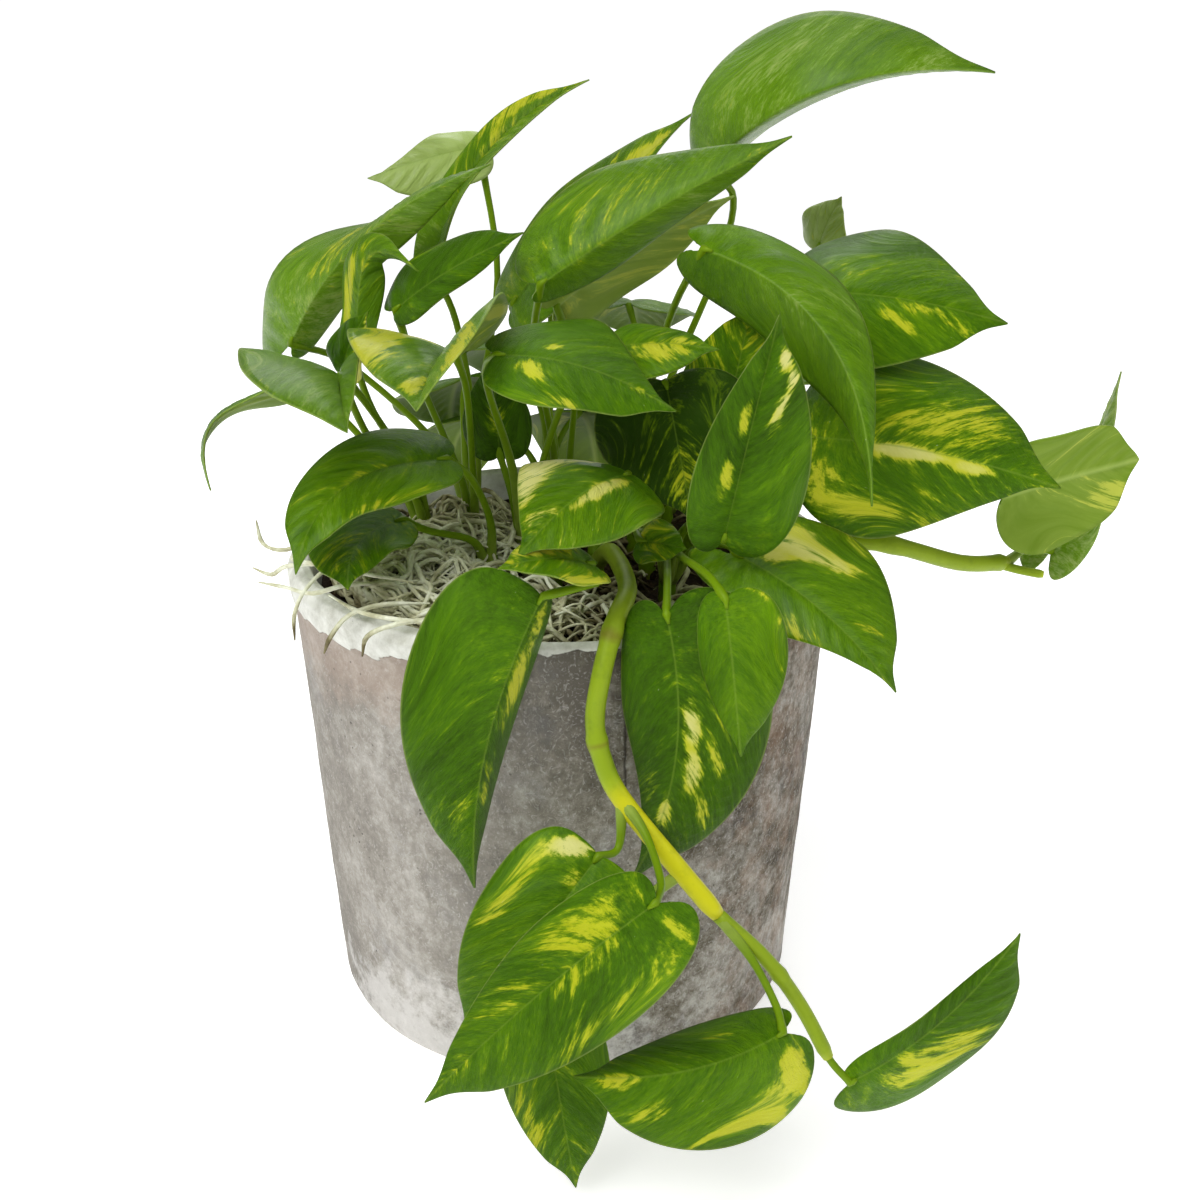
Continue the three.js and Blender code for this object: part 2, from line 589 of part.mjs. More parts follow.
function mossMat() {
  const rings = [0, 20, 40, 58, 72, 80, MOSS_RADIUS];
  const spokes = 28;
  const bottom = SOIL_TOP + FIT_GAP;
  const points = [[0, 0, mossHeight(0, 0)]];
  const index = [];
  for (let i = 1; i < rings.length; i += 1) {
    for (let j = 0; j < spokes; j += 1) {
      const angle = (2 * Math.PI * j) / spokes;
      const x = rings[i] * Math.cos(angle);
      const y = rings[i] * Math.sin(angle);
      const edge = i === rings.length - 1 ? 2.4 : 0;
      points.push([x, y, mossHeight(x, y) - edge]);
    }
  }
  const at = (i, j) => 1 + (i - 1) * spokes + (j % spokes);
  for (let j = 0; j < spokes; j += 1) {
    index.push(0, at(1, j), at(1, j + 1));
    for (let i = 1; i < rings.length - 1; i += 1) {
      index.push(at(i, j), at(i + 1, j), at(i + 1, j + 1), at(i, j), at(i + 1, j + 1), at(i, j + 1));
    }
  }
  const rim = points.length;
  for (let j = 0; j < spokes; j += 1) {
    const angle = (2 * Math.PI * j) / spokes;
    points.push([MOSS_RADIUS * Math.cos(angle), MOSS_RADIUS * Math.sin(angle), bottom]);
  }
  const centre = points.length;
  points.push([0, 0, bottom]);
  for (let j = 0; j < spokes; j += 1) {
    const next = (j + 1) % spokes;
    const top = at(rings.length - 1, j);
    const topNext = at(rings.length - 1, j + 1);
    index.push(top, rim + j, rim + next, top, rim + next, topNext);
    index.push(centre, rim + next, rim + j);
  }
  const geometry = new THREE.BufferGeometry();
  geometry.setAttribute('position', new THREE.BufferAttribute(new Float32Array(points.flat()), 3));
  geometry.setIndex(index);
  return toSolid(geometry);
}

// Curled strands, each a bent arc with both ends in the mat. Most of them lie on the left.
const STRANDS = [
  { from: [-66, -36], over: [-50, -52], to: [-30, -54], lift: 6 },
  { from: [-72, -12], over: [-66, -40], to: [-48, -62], lift: 5 },
  { from: [-40, -62], over: [-26, -48], to: [-10, -58], lift: 7 },
  { from: [-62, 16], over: [-70, -4], to: [-62, -24], lift: 5 },
  { from: [-34, -70], over: [-20, -72], to: [-6, -74], lift: 5 },
  { from: [-50, -44], over: [-36, -36], to: [-36, -66], lift: 8 },
  { from: [0, -76], over: [12, -60], to: [4, -48], lift: 4 },
  { from: [-20, -44], over: [-8, -50], to: [-18, -68], lift: 6 },
  { from: [-60, 30], over: [-46, 40], to: [-30, 60], lift: 5 },
  { from: [60, -52], over: [66, -38], to: [72, -20], lift: 4 },
  { from: [-74, -22], over: [-58, -20], to: [-52, -38], lift: 7 },
];

function moss() {
  let solid = mossMat();
  STRANDS.forEach((strand) => {
    const ground = (spot) => mossHeight(spot[0], spot[1]);
    const points = [
      [strand.from[0], strand.from[1], ground(strand.from) - 1.5],
      [strand.over[0], strand.over[1], ground(strand.over) + strand.lift],
      [strand.to[0], strand.to[1], ground(strand.to) - 1.5],
    ];
    solid = solid.add(rod(points, 0.9, 4, 5));
  });
  STEMS.forEach((stem) => {
    const hole = post(stem.crown, CROWN_RADIUS + HOLE_GAP, SOIL_TOP - 2, SOIL_TOP + 20, 6);
    solid = solid.subtract(hole);
  });
  return solid;
}

// Every solid with its name.
function named(name, solid, finish) {
  const mesh = new THREE.Mesh(toGeometry(solid), new THREE.MeshStandardMaterial(finish));
  mesh.name = name;
  return mesh;
}

const scene = new THREE.Group();
scene.add(named('pot', pot(), CEMENT));
scene.add(named('soil', soil(), EARTH));
scene.add(named('moss', moss(), PALE_MOSS));
STEMS.forEach((stem) => scene.add(named(stem.name, leafyStem(stem), stem.finish)));

export default scene;
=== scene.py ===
# A golden pothos in a round pot of aged cement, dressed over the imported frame.
# Lengths are in metres in the frame of the part. Sizes that are given in millimetres, as
# those of leaves and strands, are multiplied by MM.
import itertools
import math
import random

import bpy
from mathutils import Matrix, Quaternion, Vector, noise


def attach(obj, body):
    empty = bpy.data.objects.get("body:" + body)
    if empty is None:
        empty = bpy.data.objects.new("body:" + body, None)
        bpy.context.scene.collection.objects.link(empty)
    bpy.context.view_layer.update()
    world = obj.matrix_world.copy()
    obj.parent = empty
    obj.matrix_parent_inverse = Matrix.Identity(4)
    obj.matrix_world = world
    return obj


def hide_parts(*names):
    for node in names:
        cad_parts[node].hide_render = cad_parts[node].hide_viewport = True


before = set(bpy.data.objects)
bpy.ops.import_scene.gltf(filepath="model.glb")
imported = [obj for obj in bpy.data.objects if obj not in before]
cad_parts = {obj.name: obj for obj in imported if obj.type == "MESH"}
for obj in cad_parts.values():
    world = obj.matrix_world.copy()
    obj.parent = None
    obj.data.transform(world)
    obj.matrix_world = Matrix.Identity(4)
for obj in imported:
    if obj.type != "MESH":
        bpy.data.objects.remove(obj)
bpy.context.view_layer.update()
MM = 0.001

# Camera, lights and floor
# The photograph looks down on the pot from the front, about half a metre away and a little
# above the crown, with a large soft light from the upper left and a bright white ground.
PHOTO_PITCH = 21.7
bpy.ops.object.select_all(action="DESELECT")
bpy.ops.object.camera_add(
    location=(0.0135, -0.533, 0.357),
    rotation=(math.radians(90 - PHOTO_PITCH), 0, 0),
)
camera = bpy.context.object
camera.data.lens = 48
camera.data.sensor_width = 36
bpy.context.scene.camera = camera
bpy.context.scene.view_settings.view_transform = "Standard"

sky = bpy.data.worlds.new("studio_white")
sky.use_nodes = True
sky.node_tree.nodes["Background"].inputs["Color"].default_value = (1, 1, 1, 1)
sky.node_tree.nodes["Background"].inputs["Strength"].default_value = 0.15
bpy.context.scene.world = sky

# Each light: where it hangs, the width of its panel and its power in watts.
LIGHTS = [
    ((-0.5, -0.6, 1.1), 0.6, 4.5),
    ((0.75, -0.35, 0.7), 0.5, 1.5),
    ((0.0, 0.8, 0.9), 0.7, 4),
]
for place, width, power in LIGHTS:
    aim = (Vector((0, 0, 0.18)) - Vector(place)).to_track_quat("-Z", "Y")
    bpy.ops.object.light_add(type="AREA", location=place, rotation=aim.to_euler())
    lamp = bpy.context.object
    lamp.data.size = width
    lamp.data.energy = power

bpy.ops.object.light_add(type="SUN", location=(0, 0, 2), rotation=(math.radians(28), math.radians(-20), 0))
ceiling = bpy.context.object
ceiling.data.energy = 1.75
ceiling.data.angle = 1.1

bpy.ops.mesh.primitive_plane_add(size=60)
floor = bpy.context.object
floor.name = "floor"
paper = bpy.data.materials.new("white_paper")
paper.use_nodes = True
white = paper.node_tree.nodes["Principled BSDF"].inputs
white["Base Color"].default_value = (0.95, 0.95, 0.95, 1)
white["Roughness"].default_value = 0.9
white["Emission Color"].default_value = (1, 1, 1, 1)
white["Emission Strength"].default_value = 0.5
floor.data.materials.append(paper)


# Pot
# A cast pot of aged cement, one piece with its floor and a rounded foot. The lip was dipped
# in white lime, which comes lower on the left and has flaked along its lower edge.
class Shade:
    """One socket of a material's nodes. A sum on shades adds the Math nodes that work it out."""

    def __init__(self, tree, socket=None):
        self.tree = tree
        self.socket = socket

    def add(self, kind, settings, inputs, output=0):
        node = self.tree.nodes.new(kind)
        for name, value in settings.items():
            if name == "stops":
                ramp = node.color_ramp
                while len(ramp.elements) < len(value):
                    ramp.elements.new(0.5)
                for element, (position, shown) in zip(ramp.elements, value):
                    element.position = position
                    element.color = colour(*shown)
            else:
                setattr(node, name, value)
        for name, value in inputs.items():
            if isinstance(value, Shade):
                self.tree.links.new(value.socket, node.inputs[name])
            else:
                node.inputs[name].default_value = value
        return Shade(self.tree, node.outputs[output])

    def math(self, operation, *values):
        return self.add("ShaderNodeMath", {"operation": operation}, dict(enumerate(values)))

    def __add__(self, other):
        return self.math("ADD", self, other)

    def __sub__(self, other):
        return self.math("SUBTRACT", self, other)

    def __rsub__(self, other):
        return self.math("SUBTRACT", other, self)

    def __mul__(self, other):
        return self.math("MULTIPLY", self, other)

    __radd__ = __add__
    __rmul__ = __mul__

    def clamp(self):
        return self.add("ShaderNodeClamp", {}, {0: self})

    def size(self):
        return self.math("ABSOLUTE", self)

    def above(self, level, slope):
        """0 up to the level, and 1 from where the slope has taken it there."""
        return ((self - level) * slope).clamp()

    def near(self, level, slope):
        """1 at the level, falling to 0 on both sides of it."""
        return 1 - ((self - level).size() * slope).clamp()

    def stretched(self, x, y, z):
        return self.add("ShaderNodeVectorMath", {"operation": "MULTIPLY"}, {0: self, 1: (x, y, z)})

    def part(self, index):
        return self.add("ShaderNodeSeparateXYZ", {}, {0: self}, index)

    def grain(self, scale, detail=3, rough=0.6, distortion=0):
        inputs = {"Vector": self, "Scale": scale, "Detail": detail, "Roughness": rough,
                  "Distortion": distortion}
        return self.add("ShaderNodeTexNoise", {}, inputs)

    def spots(self, scale):
        return self.add("ShaderNodeTexVoronoi", {}, {"Vector": self, "Scale": scale})

    def mixed(self, other, share):
        """This colour with a share of the other, a shade or a screen colour, laid over it."""
        over = other if isinstance(other, Shade) else colour(*other)
        return self.add("ShaderNodeMix", {"data_type": "RGBA"}, {0: share, 6: self, 7: over}, 2)

    def ramp(self, *stops):
        return self.add("ShaderNodeValToRGB", {"stops": stops}, {0: self})

    def attribute(self, name, output=2):
        return self.add("ShaderNodeAttribute", {"attribute_name": name}, {}, output)

    def place(self):
        return self.add("ShaderNodeTexCoord", {}, {}, 3)

    def bump(self, strength, depth):
        inputs = {"Strength": strength, "Distance": depth, "Height": self}
        return self.add("ShaderNodeBump", {}, inputs)


def colour(red, green, blue):
    """A screen colour, 0 to 255 each, as the linear colour that a shader takes."""
    return (*(((part / 255 + 0.055) / 1.055) ** 2.4 for part in (red, green, blue)), 1)


def new_material(name):
    """An empty material, and the shade that its nodes start from."""
    material = bpy.data.materials.new(name)
    material.use_nodes = True
    return material, Shade(material.node_tree)


def dress(material, inputs):
    """Sets or links the sockets of a material's shader."""
    shader = material.node_tree.nodes["Principled BSDF"]
    for name, value in inputs.items():
        if isinstance(value, Shade):
            material.node_tree.links.new(value.socket, shader.inputs[name])
        else:
            shader.inputs[name].default_value = value


def smooth(low, high, value):
    """Eases from 0 at low to 1 at high."""
    share = min(1, max(0, (value - low) / (high - low)))
    return share * share * (3 - 2 * share)


def edit(*steps):
    """Runs mesh operators on the whole of the active object."""
    bpy.ops.object.mode_set(mode="EDIT")
    bpy.ops.mesh.select_all(action="SELECT")
    for operator, settings in steps:
        operator(**settings)
    bpy.ops.object.mode_set(mode="OBJECT")


def spun(name, profile, segments):
    """A closed body turned round the pot's axis from a profile of radius and height in mm."""
    bpy.ops.mesh.primitive_plane_add(size=2)
    body = bpy.context.object
    body.name = name
    edit((bpy.ops.mesh.delete, {"type": "VERT"}))
    points = [(radius * MM, 0, height * MM) for radius, height in profile]
    edges = [(i, i + 1) for i in range(len(points) - 1)]
    body.data.from_pydata(points, edges, [])
    edit(
        (bpy.ops.mesh.spin, {"steps": segments, "angle": 2 * math.pi, "center": (0, 0, 0),
                             "axis": (0, 0, 1)}),
        (bpy.ops.mesh.select_all, {"action": "SELECT"}),
        (bpy.ops.mesh.remove_doubles, {"threshold": 1e-6}),
        (bpy.ops.mesh.normals_make_consistent, {"inside": False}),
    )
    return body


def between(start, end, steps):
    """Points from start up to end, without the end itself."""
    return [
        tuple(a + (b - a) * i / steps for a, b in zip(start, end))
        for i in range(steps)
    ]


POT_SEGMENTS = 256
POT_LEVELS = [
    # a corner of the profile, then how many steps lead on to the next one
    ((0, 0), 6),
    ((79, 0), 4),
    ((82.7, 1.8), 4),
    ((84.3, 6), 40),
    ((92.8, 138), 16),
    ((93.9, 155.0), 3),
    ((94.6, 156.7), 10),
    ((95.1, 163), 6),
    ((93.4, 166.5), 5),
    ((90.6, 167.5), 5),
    ((87.8, 166.3), 6),
    ((86.5, 162.5), 6),
    ((85.5, 150), 4),
    ((77, 17), 3),
    ((74, 12), 6),
]
pot_profile = []
for (corner, steps), (following, _) in zip(POT_LEVELS, POT_LEVELS[1:] + [((0, 12), 0)]):
    pot_profile += between(corner, following, steps)
pot_profile.append((0, 12))
pot = spun("cement_pot", pot_profile, POT_SEGMENTS)


# The sides of the pot where each finish, the painted shade and the lighter left are
# strongest, in degrees round from the right. The front is at 270.
LIME_SIDE = 205
LIGHTER_LEFT_SIDE = 222
SALT_SIDE = 245
SHADE_AND_BROWN_SIDE = 264
RED_CLAY_SIDE = 325


def towards(side, angle):
    """1 at that side of the pot, 0 a quarter of the way round from it."""
    return math.cos(angle - math.radians(side))


def lime_edge(angle):
    """How low the white lime comes down the outside of the pot, in mm, at each side of it."""
    left = smooth(0.35, 1.0, towards(LIME_SIDE, angle))
    ragged = 2.2 * noise.noise(Vector((math.cos(angle) * 9, math.sin(angle) * 9, 2)))
    return 165.8 - 10.5 * left + ragged * (0.25 + 0.75 * left)


coats = {name: [] for name in ("lime", "clay", "salt", "bleach", "damp")}
for vertex in pot.data.vertices:
    x, y, z = vertex.co / MM
    radius = math.hypot(x, y)
    angle = math.atan2(y, x)
    outside = smooth(70, 80, radius)
    inside = 1 if z > 150 and radius < 91 else 0
    flake = 1.4 * noise.noise(Vector((x, y, z)) * 0.22)
    limed = max(inside, smooth(-0.7, 0.7, z - lime_edge(angle) + flake))
    left = towards(LIGHTER_LEFT_SIDE, angle)
    band = smooth(0.66, 0.96, left) * smooth(112, 158, z)
    right = 0.42 * smooth(0.85, 1, towards(RED_CLAY_SIDE, angle))
    coats["lime"].append(limed)
    coats["clay"].append(max(band, right) * outside)
    coats["salt"].append(smooth(0.4, 0.95, towards(SALT_SIDE, angle)) * smooth(52, 8, z))
    coats["bleach"].append(smooth(0.3, 1.0, left))
    # Painted shade under the hanging leaves on the front of the pot, over a darker brown zone.
    coats["damp"].append(smooth(0.86, 0.99, towards(SHADE_AND_BROWN_SIDE, angle)) * smooth(50, 110, z))
    if outside > 0 and z > 0.5:
        wobble = 0.45 * noise.noise(vertex.co * 14) + 0.16 * noise.noise(vertex.co * 70)
        grit = 0.07 * noise.noise(vertex.co * 420)
        lift = (wobble + grit + 0.45 * limed) * MM
        vertex.co.x += lift * math.cos(angle)
        vertex.co.y += lift * math.sin(angle)
for name, values in coats.items():
    layer = pot.data.attributes.new(name, "FLOAT", "POINT")
    layer.data.foreach_set("value", values)

cement, start = new_material("aged_cement")
spot = start.place()
cloud = spot.grain(16, 5, 0.62, 0.4)
blot = spot.stretched(1, 1, 0.7).grain(44, 6, 0.72, 0.5)
fine = spot.grain(240, 5, 0.75)
speckle = spot.grain(900, 4, 0.75)
scratch = spot.stretched(1, 1, 0.8).grain(420, 3, 0.6, 2.5)
# The front of the pot is darker, with painted shade under the hanging leaves and a brown zone.
body = (cloud * 0.65 + blot * 0.55 + fine * 0.55 - 0.38 - start.attribute("damp") * 0.1).ramp(
    (0.34, (70, 62, 50)),
    (0.44, (110, 103, 90)),
    (0.55, (154, 149, 140)),
    (0.68, (196, 193, 186)),
)
body = body.mixed((92, 94, 104), spot.grain(34, 5, 0.75).above(0.52, 5) * 0.5)
body = body.mixed((210, 208, 204), scratch.above(0.54, 6) * 0.5)
body = body.mixed((74, 70, 64), speckle.above(0.55, 6) * 0.45)
tint = (start.attribute("clay") * 1.7 + (spot.grain(95, 4, 0.7) - 0.5) * 2.4 - 0.5).clamp()
body = body.mixed((176, 138, 112), tint * 0.4)
# The pot is painted lighter towards its left side.
body = body.mixed((190, 186, 178), start.attribute("bleach") * 0.38)
crust = ((start.attribute("salt") + (spot.grain(75, 5, 0.75) - 0.5) * 3.0 - 0.45) * 2).clamp()
body = body.mixed((222, 220, 216), crust * 0.6)
pits = (1 - spot.spots(330).above(0.1, 14)) * spot.grain(40, 2).above(0.5, 6)
body = body.mixed((56, 50, 44), pits * 0.8)
# A thin crack runs down the front from the lip, a little right of the middle.
CRACK_X = 21.5 * MM
CRACK_FOOT = 100 * MM
wander = (spot.grain(60, 4, 0.7) - 0.5) * 0.003
crack = (spot.part(0) + wander).near(CRACK_X, 1500) * spot.part(2).above(CRACK_FOOT, 60)
crack = crack * (spot.part(1) * -100).clamp()
body = body.mixed((44, 38, 30), crack * 0.85)
limed = ((start.attribute("lime") + (spot.grain(260, 4, 0.7) - 0.5) * 0.9 - 0.5) * 5 + 0.5).clamp()
wash = spot.grain(120, 5, 0.7).ramp(
    (0.3, (196, 196, 184)),
    (0.6, (236, 237, 229)),
)
# A dark line along the lower edge of the lime is painted shadow under its ledge.
ledge_shadow = start.attribute("lime").near(0.42, 7)
body = body.mixed((60, 55, 46), ledge_shadow * 0.6).mixed(wash, limed)
relief = cloud * 0.2 + fine * 0.5 + speckle * 0.4 + scratch * 0.25 - pits * 0.9 - crack + limed * 0.4
dress(cement, {
    "Base Color": body,
    "Roughness": 0.94 - speckle * 0.12,
    "Specular IOR Level": 0.3,
    "Normal": relief.bump(0.55, 0.0011),
})
pot.data.materials.append(cement)
bpy.ops.object.shade_smooth()
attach(pot, "root")
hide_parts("pot")


# Soil
# Dark peat compost that fills the pot to a finger below the lip, with lumps and bits of bark
# on its surface. The stems stand in it.
SOIL_TOP = 155.5
soil = spun("compost", [
    *between((0, 12.4), (73, 12.4), 3),
    *between((73, 12.4), (84.4, 150), 4),
    *between((84.4, 150), (84.4, SOIL_TOP), 2),
    *between((84.4, SOIL_TOP), (0, SOIL_TOP), 44),
    (0, SOIL_TOP),
], 120)
for vertex in soil.data.vertices:
    if vertex.co.z > (SOIL_TOP - 0.5) * MM:
        lumps = 2.6 * noise.fractal(vertex.co * 90, 0.8, 2.0, 4)
        vertex.co.z += (lumps + 1.2) * MM

random.seed(11)
CRUMB_COUNT = 240
CRUMB_REACH = 80
CRUMB_HEIGHT = 157.4
crumbs = []
for _ in range(CRUMB_COUNT):
    angle = random.uniform(0, 2 * math.pi)
    reach = CRUMB_REACH * math.sqrt(random.random())
    bpy.ops.mesh.primitive_ico_sphere_add(
        subdivisions=1,
        radius=random.uniform(0.9, 2.4) * MM,
        location=(reach * math.cos(angle) * MM, reach * math.sin(angle) * MM, CRUMB_HEIGHT * MM),
        rotation=(random.random() * 3, random.random() * 3, 0),
        scale=(1.4, 0.8, 0.6),
    )
    crumbs.append(bpy.context.object)
for piece in (soil, *crumbs):
    piece.select_set(True)
bpy.context.view_layer.objects.active = soil
bpy.ops.object.join()
bpy.ops.object.shade_smooth()

earth, start = new_material("peat_compost")
spot = start.place()
fine = spot.grain(420, 5, 0.75)
dress(earth, {
    "Base Color": fine.ramp(
        (0.32, (20, 14, 9)),
        (0.52, (44, 32, 21)),
        (0.72, (88, 68, 48)),
    ),
    "Roughness": 0.96,
    "Specular IOR Level": 0.2,
    "Normal": fine.bump(0.8, 0.0015),
})
soil.data.materials.append(earth)
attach(soil, "root")
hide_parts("soil")


# Moss
# Dried hanging moss, a loose tangle of thin curled strands, laid over the soil. Pale strands
# lie on top at the left, those below darkened by painted shade, browner ones behind, and a
# few hang over the lip.
def sampled(points, steps):
    """A smooth line through the points, with that many steps between each two."""
    first = points[0] * 2 - points[1]
    last = points[-1] * 2 - points[-2]
    around = [first, *points, last]
    line = []
    for i in range(len(points) - 1):
        a, b, c, d = around[i:i + 4]
        for step in range(steps):
            t = step / steps
            line.append(
                (b * 2 + (c - a) * t + (a * 2 - b * 5 + c * 4 - d) * t ** 2
                 + (b * 3 - a - c * 3 + d) * t ** 3) / 2
            )
    line.append(points[-1].copy())
    return line


MOUNDS = [
    # centre, spread and share of the strands of each heap of moss, in mm
    ((-50, -36), 22, 0.42),
    ((-4, -64), 20, 0.15),
    ((-32, 4), 19, 0.29),
    ((30, -60), 24, 0.08),
    ((20, 45), 34, 0.06),
]
OVER_THE_LIP = [
    [(-60, -40, 172), (-76, -44, 175), (-90, -38, 172), (-97, -30, 166), (-104, -26, 167)],
    [(-52, -54, 172), (-66, -60, 174), (-78, -60, 171), (-88, -52, 170), (-97, -50, 171)],
    [(-40, -66, 170), (-54, -72, 172), (-64, -76, 170), (-70, -76, 163), (-73, -73, 156)],
    [(-30, -72, 168), (-40, -82, 171), (-50, -84, 170), (-58, -81, 165), (-60, -80, 158)],
    [(-66, -16, 172), (-80, -20, 176), (-93, -22, 172), (-102, -16, 172), (-106, -6, 177)],
    [(-58, -36, 175), (-72, -50, 177), (-80, -58, 172), (-84, -60, 164), (-85, -58, 154)],
    [(-14, -74, 167), (-28, -82, 170), (-44, -83, 171), (-60, -76, 171), (-72, -64, 172)],
    [(-46, -58, 174), (-62, -60, 178), (-78, -52, 178), (-88, -38, 175), (-82, -24, 177)],
]
STRAND_COUNT = 680
STRAND_STEP = 5.2
MOSS_REACH = 81
MOSS_LOWEST = 156
MOSS_HIGHEST = 188
random.seed(4)
bpy.ops.object.select_all(action="DESELECT")
strands = bpy.data.curves.new("curled_moss", "CURVE")
strands.dimensions = "3D"
strands.bevel_depth = 1
strands.bevel_resolution = 0
strands.use_fill_caps = True


def lay_strand(line, thickness):
    """Adds one strand to the tangle, thinner at its ends."""
    spline = strands.splines.new("POLY")
    spline.points.add(len(line) - 1)
    for i, (point, target) in enumerate(zip(line, spline.points)):
        end = min(i, len(line) - 1 - i) / 3
        target.co = (*(point * MM), 1)
        target.radius = thickness * min(1, 0.35 + 0.65 * end) * MM


def heap_height(x, y):
    """How high the tangle stands at a place, in mm, with its three heaps."""
    left = 12 * math.exp(-((x + 48) ** 2 + (y + 34) ** 2) / 1100)
    front = 6 * math.exp(-((x + 2) ** 2 + (y + 62) ** 2) / 500)
    middle = 17 * math.exp(-((x + 31) ** 2 + (y - 2) ** 2) / 620)
    return 158.2 + left + front + middle


for _ in range(STRAND_COUNT):
    draw = random.random()
    for centre, spread, share in MOUNDS:
        if draw < share:
            break
        draw -= share
    x = random.gauss(centre[0], spread)
    y = random.gauss(centre[1], spread)
    heading = random.uniform(0, 2 * math.pi)
    turn = random.choice((-1, 1)) * random.uniform(0.15, 0.6)
    lift = random.uniform(-4, 4)
    billow = random.uniform(1.5, 4.5)
    rise = random.uniform(0, 2 * math.pi)
    points = []
    for step in range(random.randint(6, 12)):
        reach = math.hypot(x, y)
        if reach > MOSS_REACH:
            x, y = x * MOSS_REACH / reach, y * MOSS_REACH / reach
            heading += 1.2
        high = heap_height(x, y) + lift + billow * math.sin(rise + step * 1.1)
        points.append(Vector((x, y, min(max(high, MOSS_LOWEST), MOSS_HIGHEST))))
        x += STRAND_STEP * math.cos(heading)
        y += STRAND_STEP * math.sin(heading)
        heading += turn + random.uniform(-0.35, 0.35)
    lay_strand(sampled(points, 2), random.uniform(0.4, 1.05))
for route in OVER_THE_LIP:
    lay_strand(sampled([Vector(point) for point in route], 4), 0.8)
moss = bpy.data.objects.new("curled_moss", strands)
bpy.context.scene.collection.objects.link(moss)
moss.select_set(True)
bpy.context.view_layer.objects.active = moss
bpy.ops.object.convert(target="MESH")
moss = bpy.context.object
bpy.ops.object.shade_smooth()

dry_moss, start = new_material("dried_moss")
spot = start.place()
# Painted shade darkens the tangle in its depth, near the soil, and it is browner behind the foot
# of the stems.
height = spot.part(2).above(158 * MM, 95)
behind = spot.part(1).above(-26 * MM, 45)
shade = height * 0.62 + (spot.grain(110, 3, 0.7) - 0.5) * 1.5 + 0.22 - behind * 0.3
dress(dry_moss, {
    "Base Color": shade.ramp(
        (0.0, (66, 56, 36)),
        (0.35, (130, 122, 86)),
        (0.7, (204, 203, 168)),
        (1.0, (240, 242, 220)),
    ),
    "Roughness": 0.92,
    "Specular IOR Level": 0.25,
    "Normal": spot.grain(1500, 2).bump(0.4, 0.0003),
})
moss.data.materials.append(dry_moss)
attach(moss, "root")
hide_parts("moss")


# Leaves and stalks
# Every leaf is a thin heart shaped blade on a smooth stalk that clasps the stem at its foot.
# The blade is glossy green above, paler below, and marbled yellow and cream along its veins.
BLADE_THICKNESS = 0.55
BLADE_COLUMNS = 30
BLADE_ROWS = 58
MARGIN_WAVE = 1.1
MARGIN_CURL = math.radians(-25)
VEIN_SPACING = 6.5
# The materials read places on a blade in centimetres. The side veins make one wave for each
# spacing along the midrib.
CM = 10
RIB_WAVES = 2 * math.pi * CM / VEIN_SPACING
STALK_TINT = 0.34

# Where the veins of each part of the outline leave the midrib, and the number by which marks
# name them.
VEIN_FEET = [(0, 0.02), (0.02, 0.12), (0.12, 1.0)]
VEIN_NAMES = [(-0.25, -0.10), (-0.10, 0.12), (0.12, 1.0)]


def half_outline(lobe, fullness):
    """Half of a blade, from the notch round the lobe to the tip: shares of width and length."""
    return [
        [(0.10, -0.43 * lobe), (0.18, -0.87 * lobe), (0.32, -lobe), (0.45, -0.87 * lobe)],
        [(0.45, -0.87 * lobe), (0.78, -0.6 * lobe), (1.0, 0.08), (1.0, 0.28)],
        [(1.0, 0.28), (1.0, 0.56 + 0.14 * fullness), (0.3 + 0.35 * fullness, 0.8 + 0.06 * fullness),
         (0.012, 1.0)],
    ]


def outline_at(row, outline):
    """The outline, the foot of the vein that ends there, and that vein's name."""
    part = min(2, int(row))
    t = row - part
    s = 1 - t
    weights = (s ** 3, 3 * s * s * t, 3 * s * t * t, t ** 3)
    x = sum(weight * point[0] for weight, point in zip(weights, outline[part]))
    y = sum(weight * point[1] for weight, point in zip(weights, outline[part]))
    x *= 1 - 0.4 * smooth(0.8, 0.95, y)
    eased = t ** 0.92 if part == 2 else t
    low, high = VEIN_FEET[part]
    first, last = VEIN_NAMES[part]
    return x, y, low + (high - low) * eased, first + (last - first) * eased


def row_at(share):
    """Spreads the rows of the mesh over the three parts of the outline."""
    if share < 0.1:
        return share / 0.1
    if share < 0.4:
        return 1 + (share - 0.1) / 0.3
    return 2 + (share - 0.4) / 0.6


